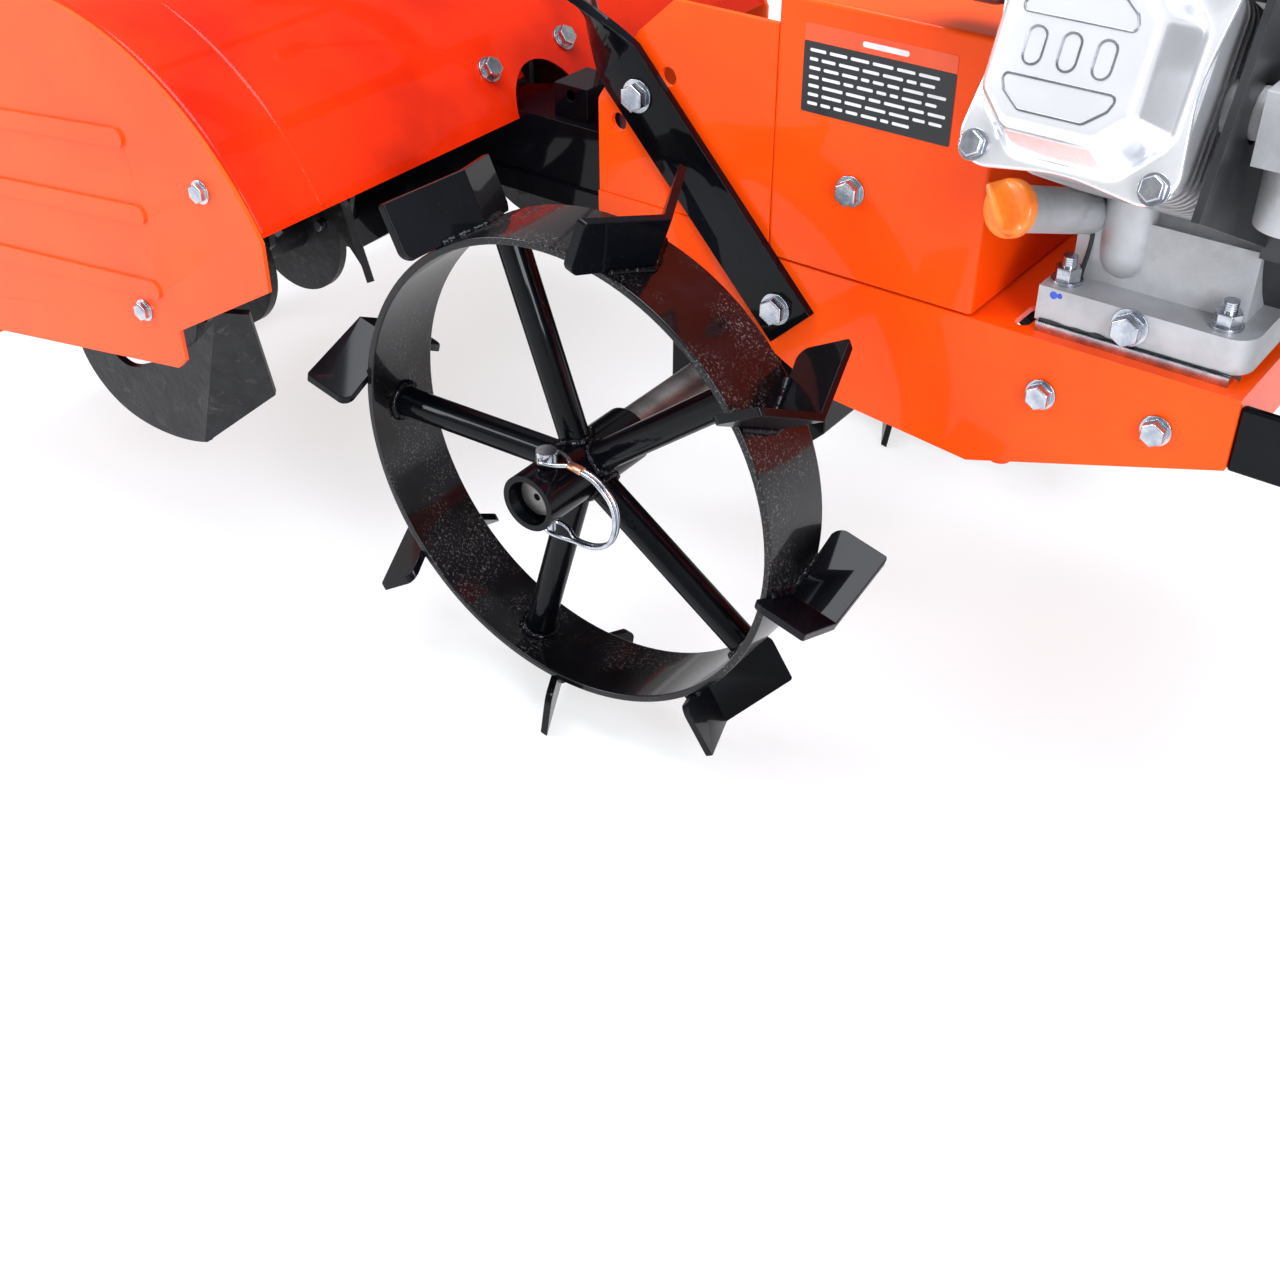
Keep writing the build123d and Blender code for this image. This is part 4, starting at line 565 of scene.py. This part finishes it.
def domeOutline(inset):
    w, h = cover["halfWide"] - inset, cover["halfTall"] - inset
    cut = cover["cut"] - cover["cutShrink"] * inset
    rounding = max(cover["corner"] - cover["cornerShrink"] * inset, cover["leastCorner"])
    corners = [(w, h - cut), (w - cut, h), (-w + cut, h), (-w, h - cut), (-w, -h + cut), (-w + cut, -h),
               (w - cut, -h), (w, -h + cut)]
    return roundedOutline([(x, y, rounding) for x, y in corners])


def flangeOutline(inset):
    w, h, s = cover["flangeHalfWide"] - inset, cover["flangeHalfTall"] - inset, cover["waist"]
    tight, wide = cover["flangeCorner"] - inset, cover["waistCorner"]
    return roundedOutline([(w, -h, tight), (w - s, 0, wide), (w, h, tight), (0, h - s, wide),
                           (-w, h, tight), (-w + s, 0, wide), (-w, -h, tight), (0, -h + s, wide)], 10)


shape = bmesh.new()
seat, lip = cover["seat"], cover["seat"] + cover["flange"]
loft(shape, [facing(seat, flangeOutline(0.6)), facing(seat + 0.5, flangeOutline(0)),
             facing(lip - 1.2, flangeOutline(0)), facing(lip - 0.4, flangeOutline(0.4)),
             facing(lip, flangeOutline(1.2))])
wall = math.tan(math.radians(cover["draft"]))
rise = cover["rise"]
# height over the flange and inset: the foot's fillet, the drafted wall, the rounded crown
profile = [(0, -4.5), (0.25, -3.0), (0.9, -1.7), (2.2, -0.7), (4.0, 0.1), (rise - 7, (rise - 7) * wall),
           (rise - 4.2, (rise - 4.2) * wall + 0.3), (rise - 2.0, (rise - 2.0) * wall + 1.2),
           (rise - 0.6, (rise - 0.6) * wall + 2.8), (rise, rise * wall + 5.2)]
loft(shape, [facing(lip + height, domeOutline(inset)) for height, inset in profile], startCap=False)
addPiece("valve_cover_pressed", shape, "chassis", "pressed_cover", None, ["valve_cover"], 30)
shape = bmesh.new()
top = lip + rise - cover["lineSink"]


def pressedLine(corners):
    # a thin line round the corners, let into the top; its dark finish is painted shade standing for the shade
    # in the pressed groove
    outline = roundedOutline(corners, 5)
    points = facing(top, outline + outline[:2])
    tubeAlong(shape, points, cover["line"] * mm, 6)


for flip in (-1, 1):
    pressedLine([(-27, flip * 13, 3), (27, flip * 13, 3), (24, flip * 20, 3), (15, flip * 27, 4),
                 (-15, flip * 27, 4), (-24, flip * 20, 3)])
for x in cover["slots"]:
    w, h = cover["slotHalfWide"], cover["slotHalfTall"]
    pressedLine([(x - w, -h, 4), (x + w, -h, 4), (x + w, h, 4), (x - w, h, 4)])
# the lines wear painted shade: darker metal in place of the shade that falls in the pressed grooves
addPiece("valve_cover_lines", shape, "chassis", "pressed_cover", pressedShade)
print("valve cover pressed")


def lathe(shape, base, way, profile, sides=40):
    # profile is distance along the way and radius, in mm
    way = way.normalized()
    side = way.orthogonal().normalized()
    other = way.cross(side)
    loft(shape, [[base + way * along * mm + (side * math.cos(t) + other * math.sin(t)) * radius * mm
                  for t in around(sides)] for along, radius in profile])


# oil cap: plain disc with a raised wing to grip; it lies along the filler neck
oilCap = {"radius": 15, "thick": 7, "seat": (243, -185, 217), "way": (-19, -85, 27), "sides": 48,
          "wingLong": 14.5, "wingWide": 3.4, "wingTall": 10, "wingWay": (0.62, 0.16, -0.77), "wingSides": 28,
          "endFull": 0.45, "sideFull": 0.7}
capWay = Vector(oilCap["way"]).normalized()
capBase = spot(*oilCap["seat"])
shape = bmesh.new()
r, t = oilCap["radius"], oilCap["thick"]
lathe(shape, capBase, capWay, [(0.25, r - 0.8), (0.8, r), (t - 2.4, r), (t - 0.8, r - 0.8), (t, r - 2.4),
                               (t + 0.3, r - 5), (t + 0.4, 0.1)], oilCap["sides"])
wingWay = Vector(oilCap["wingWay"])
wingWay = (wingWay - capWay * wingWay.dot(capWay)).normalized()
wingSide = capWay.cross(wingWay)
rings = []
for height, long, wide in ((t - 0.5, 1.0, 2.1), (t + 1.0, 1.0, 1.35), (t + 4, 0.97, 1.0), (t + 8, 0.92, 0.8),
                           (t + 9.6, 0.88, 0.62), (t + oilCap["wingTall"], 0.8, 0.3)):
    ring = []
    for turn in around(oilCap["wingSides"]):
        x = math.copysign(abs(math.cos(turn)) ** oilCap["endFull"], math.cos(turn)) * oilCap["wingLong"] * long
        y = math.copysign(abs(math.sin(turn)) ** oilCap["sideFull"], math.sin(turn)) * oilCap["wingWide"] * wide
        ring.append(capBase + (capWay * height + wingWay * x + wingSide * y) * mm)
    rings.append(ring)
loft(shape, rings)
addPiece("oil_cap_winged", shape, "oil_plug", "cap_plastic", None, ["oil_cap"], 40)

# threads on the stud ends
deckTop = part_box("engine_block")[0].z  # underside of the engine's base
shape = bmesh.new()
stud = {"radius": 4, "pitch": 1.25, "depth": 0.6, "crest": 0.25, "tipLong": 0.4, "tipSink": 1.2, "low": 9.3,
        "high": 14.8, "baseTall": 20, "xs": (257, 347), "reach": 131, "sides": 20}
for x in stud["xs"]:
    for side in (-1, 1):
        profile = []
        height = stud["low"]
        while height < stud["high"]:
            profile += [(height, stud["radius"] - stud["depth"]),
                        (height + stud["pitch"] / 2, stud["radius"] + stud["crest"])]
            height += stud["pitch"]
        profile += [(stud["high"] + stud["tipLong"], stud["radius"] - stud["tipSink"])]
        base = spot(x, side * stud["reach"], 0)
        base.z = deckTop + stud["baseTall"] * mm
        lathe(shape, base, Vector((0, 0, 1)), profile, stud["sides"])
addPiece("stud_threads", shape, "chassis", "zinc_plate", sharp=20)

# gasket line on the crankcase, sealant squeezed out over the shims, casting boss, paint dots
caseFace = -121.2
gasket = {"x": 262, "low": 160, "high": 226, "step": 3, "waver": 1.4, "wave": 9, "radius": 1.25}
sealant = {"x": 250, "y": -144.4, "lift": 0.6, "step": 1.15, "count": 100, "least": 0.4, "lump": 2.4,
           "lumpStep": 0.11}
# the boss's rings are height and radius
boss = {"x": 281, "inset": 5, "squash": 0.8, "sides": 28, "rings": (
            (164, 1.0), (165, 6.5), (168, 10.5), (173, 13), (180, 14), (205, 14.5), (226, 14.8)),
        "pipeOut": 9, "pipeLow": 228, "pipeLong": 10, "pipeRadius": 9}
# each dot is x, height over the deck and radius
dots = {"y": -143.9, "dots": ((256, 16.2, 2.4), (259.5, 16.6, 1.7)), "thick": 0.3, "sides": 16}
deckPad = (deckTop - axleMid.z) / mm
shape = bmesh.new()
points = [spot(gasket["x"] + gasket["waver"] * math.sin(z / gasket["wave"]), caseFace, z)
          for z in range(gasket["low"], gasket["high"], gasket["step"])]
tubeAlong(shape, points, gasket["radius"] * mm, 6)


def squeezed(i):
    lump = noise.noise(Vector((i * sealant["lumpStep"], 2.7, 0)))
    return mm * (sealant["least"] + sealant["lump"] * max(0, lump))


points = [spot(sealant["x"] + i * sealant["step"], sealant["y"], deckPad + sealant["lift"])
          for i in range(sealant["count"])]
tubeAlong(shape, points, squeezed)
addPiece("engine_sealant", shape, "chassis", "belt_rubber")
shape = bmesh.new()
loft(shape, [[spot(boss["x"] + radius * math.cos(t),
                   caseFace + boss["inset"] + boss["squash"] * radius * math.sin(t), height)
              for t in around(boss["sides"])] for height, radius in boss["rings"]])
lathe(shape, spot(boss["x"], caseFace - boss["pipeOut"], boss["pipeLow"]), Vector((0, 0, 1)),
      [(0, boss["pipeRadius"]), (boss["pipeLong"], boss["pipeRadius"])], 20)
addPiece("crankcase_boss", shape, "chassis", "cast_aluminium", sharp=50)
shape = bmesh.new()
for x, height, size in dots["dots"]:
    lathe(shape, spot(x, dots["y"], deckPad + height), Vector((0, -1, 0)),
          [(0, size), (0.22, size * 0.9), (dots["thick"], size * 0.4)], dots["sides"])
addPiece("paint_dots", shape, "chassis", "cast_aluminium", bluePaint)

# plain label with unlettered bars on the belt cover
label = {"low": (96.5, 227), "high": (189, 275.5), "band": 9.5, "rows": 7, "lift": 0.25, "barLift": 0.34,
         "margin": 4, "barWide": (5, 13), "barGap": 2.2, "barCorner": 0.7, "barBelow": 1.0, "barAbove": 0.7,
         "firstRow": 4.4, "lastRowShort": 22, "leastBar": 8, "title": (36, 64, 6.4, 3.4), "sink": 0.02}
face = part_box("belt_cover")[0].y


def flatPatch(shape, x0, x1, z0, z1, lift, corner=1.2):
    # a thin plate with rounded corners on the belt cover's near face
    outline = roundedOutline([(x0, z0, corner), (x1, z0, corner), (x1, z1, corner), (x0, z1, corner)], 4)
    place = [Vector((axleMid.x, 0, axleMid.z)) + Vector((p.x, 0, p.y)) * mm for p in outline]
    loft(shape, [[Vector((p.x, face - label["sink"] * mm, p.z)) for p in place],
                 [Vector((p.x, face - lift * mm, p.z)) for p in place]])


x0, z0 = label["low"]
x1, z1 = label["high"]
shape = bmesh.new()
flatPatch(shape, x0, x1, z0, z1 - label["band"], label["lift"])
addPiece("label_field", shape, "chassis", "black_plastic", labelBlack)
shape = bmesh.new()
flatPatch(shape, x0, x1, z1 - label["band"] + 0.05, z1, label["lift"])
addPiece("label_band", shape, "chassis", "black_plastic", labelRed)
shape = bmesh.new()
bars = random.Random(5)
rowGap = (z1 - z0 - label["band"] - 5) / label["rows"]
for row in range(label["rows"]):
    x = x0 + label["margin"]
    z = z1 - label["band"] - label["firstRow"] - row * rowGap
    short = label["lastRowShort"] if row == label["rows"] - 1 else 0
    while x < x1 - label["margin"] - label["leastBar"] - short:
        wide = min(bars.uniform(*label["barWide"]), x1 - label["margin"] - x)
        flatPatch(shape, x, x + wide, z - label["barBelow"], z + label["barAbove"], label["barLift"],
                  label["barCorner"])
        x += wide + label["barGap"]
left, right, below, above = label["title"]
flatPatch(shape, x0 + left, x0 + right, z1 - below, z1 - above, label["barLift"])
addPiece("label_bars", shape, "chassis", "black_plastic", labelWhite)
print("engine details and label made")

# hood: rolled edges beside the panels and a pressed crease near them
hood = {"x": -408, "z": 15, "radius": 222, "half": 292, "first": 28.2, "last": 192, "steps": 109, "sides": 14,
        "roll": 4.2, "rollInset": 0.2, "rollProud": 0.7, "crease": 235, "creaseSink": 4.3, "creaseSize": 5.0}
rolled = (hood["half"] - hood["roll"] - hood["rollInset"], hood["roll"] - hood["rollProud"], hood["roll"])
creased = (hood["crease"], hood["creaseSink"], hood["creaseSize"])
shape = bmesh.new()
for side in (-1, 1):
    for y, sink, size in (rolled, creased):
        points = []
        for k in range(hood["steps"] + 1):
            turn = math.radians(hood["first"] + (hood["last"] - hood["first"]) * k / hood["steps"])
            reach = hood["radius"] - sink
            points.append(spot(hood["x"] + reach * math.cos(turn), side * y,
                               hood["z"] + reach * math.sin(turn)))
        tubeAlong(shape, points, size * mm, hood["sides"])
addPiece("hood_rolled_edges", shape, "chassis", "hood_orange", sharp=60)
print("hood edges rolled")

# studio: pale floor, even sky, one large bank above and a strip at the right
studio = {"floorSize": 14, "floorShade": (0.36, 0.37, 0.38), "floorRough": 0.7, "floorGlow": 0.68,
          "skyShade": (0.97, 0.98, 1, 1), "sky": 0.5, "tint": (0.90, 0.93, 1.0)}
lights = {
    "bankOverhead": {"place": (0.2, -0.2, 2.3), "aim": (0.1, 0, 0.2), "size": (1.9, 1.3), "watts": 74},
    "stripRight": {"place": (2.0, -1.4, 1.2), "aim": (0.2, -0.1, 0.3), "size": (0.6, 1.6), "watts": 48},
    "fillLeft": {"place": (-1.7, -1.5, 1.3), "aim": (-0.1, -0.2, 0.2), "size": (0.9, 0.9), "watts": 30},
}
floorMesh = bpy.data.meshes.new("floor")
half = studio["floorSize"] / 2
floorMesh.from_pydata([(-half, -half, 0), (half, -half, 0), (half, half, 0), (-half, half, 0)], [],
                      [(0, 1, 2, 3)])
floor = bpy.data.objects.new("floor", floorMesh)
bpy.context.scene.collection.objects.link(floor)
floorFinish, floorShader, floorPlace = newFinish("floorFinish", gloss=0.1)
join(floorShader, "Base Color", studio["floorShade"])
join(floorShader, "Roughness", studio["floorRough"] + floorPlace.noise(30) * 0.1)
join(floorShader, "Emission Color", (1, 1, 1))
join(floorShader, "Emission Strength", studio["floorGlow"])
dress(floor, floorFinish)
world = bpy.data.worlds.new("world")
world.use_nodes = True
sky = world.node_tree.nodes["Background"]
sky.inputs["Color"].default_value = studio["skyShade"]
sky.inputs["Strength"].default_value = studio["sky"]
bpy.context.scene.world = world
for name, light in lights.items():
    lamp = bpy.data.lights.new(name, "AREA")
    lamp.shape = "RECTANGLE"
    lamp.size, lamp.size_y = light["size"]
    lamp.energy = light["watts"]
    lamp.color = studio["tint"]
    holder = bpy.data.objects.new(name, lamp)
    holder.location = light["place"]
    holder.rotation_euler = (Vector(light["aim"]) - holder.location).to_track_quat("-Z", "Y").to_euler()
    bpy.context.scene.collection.objects.link(holder)
print("studio lit")
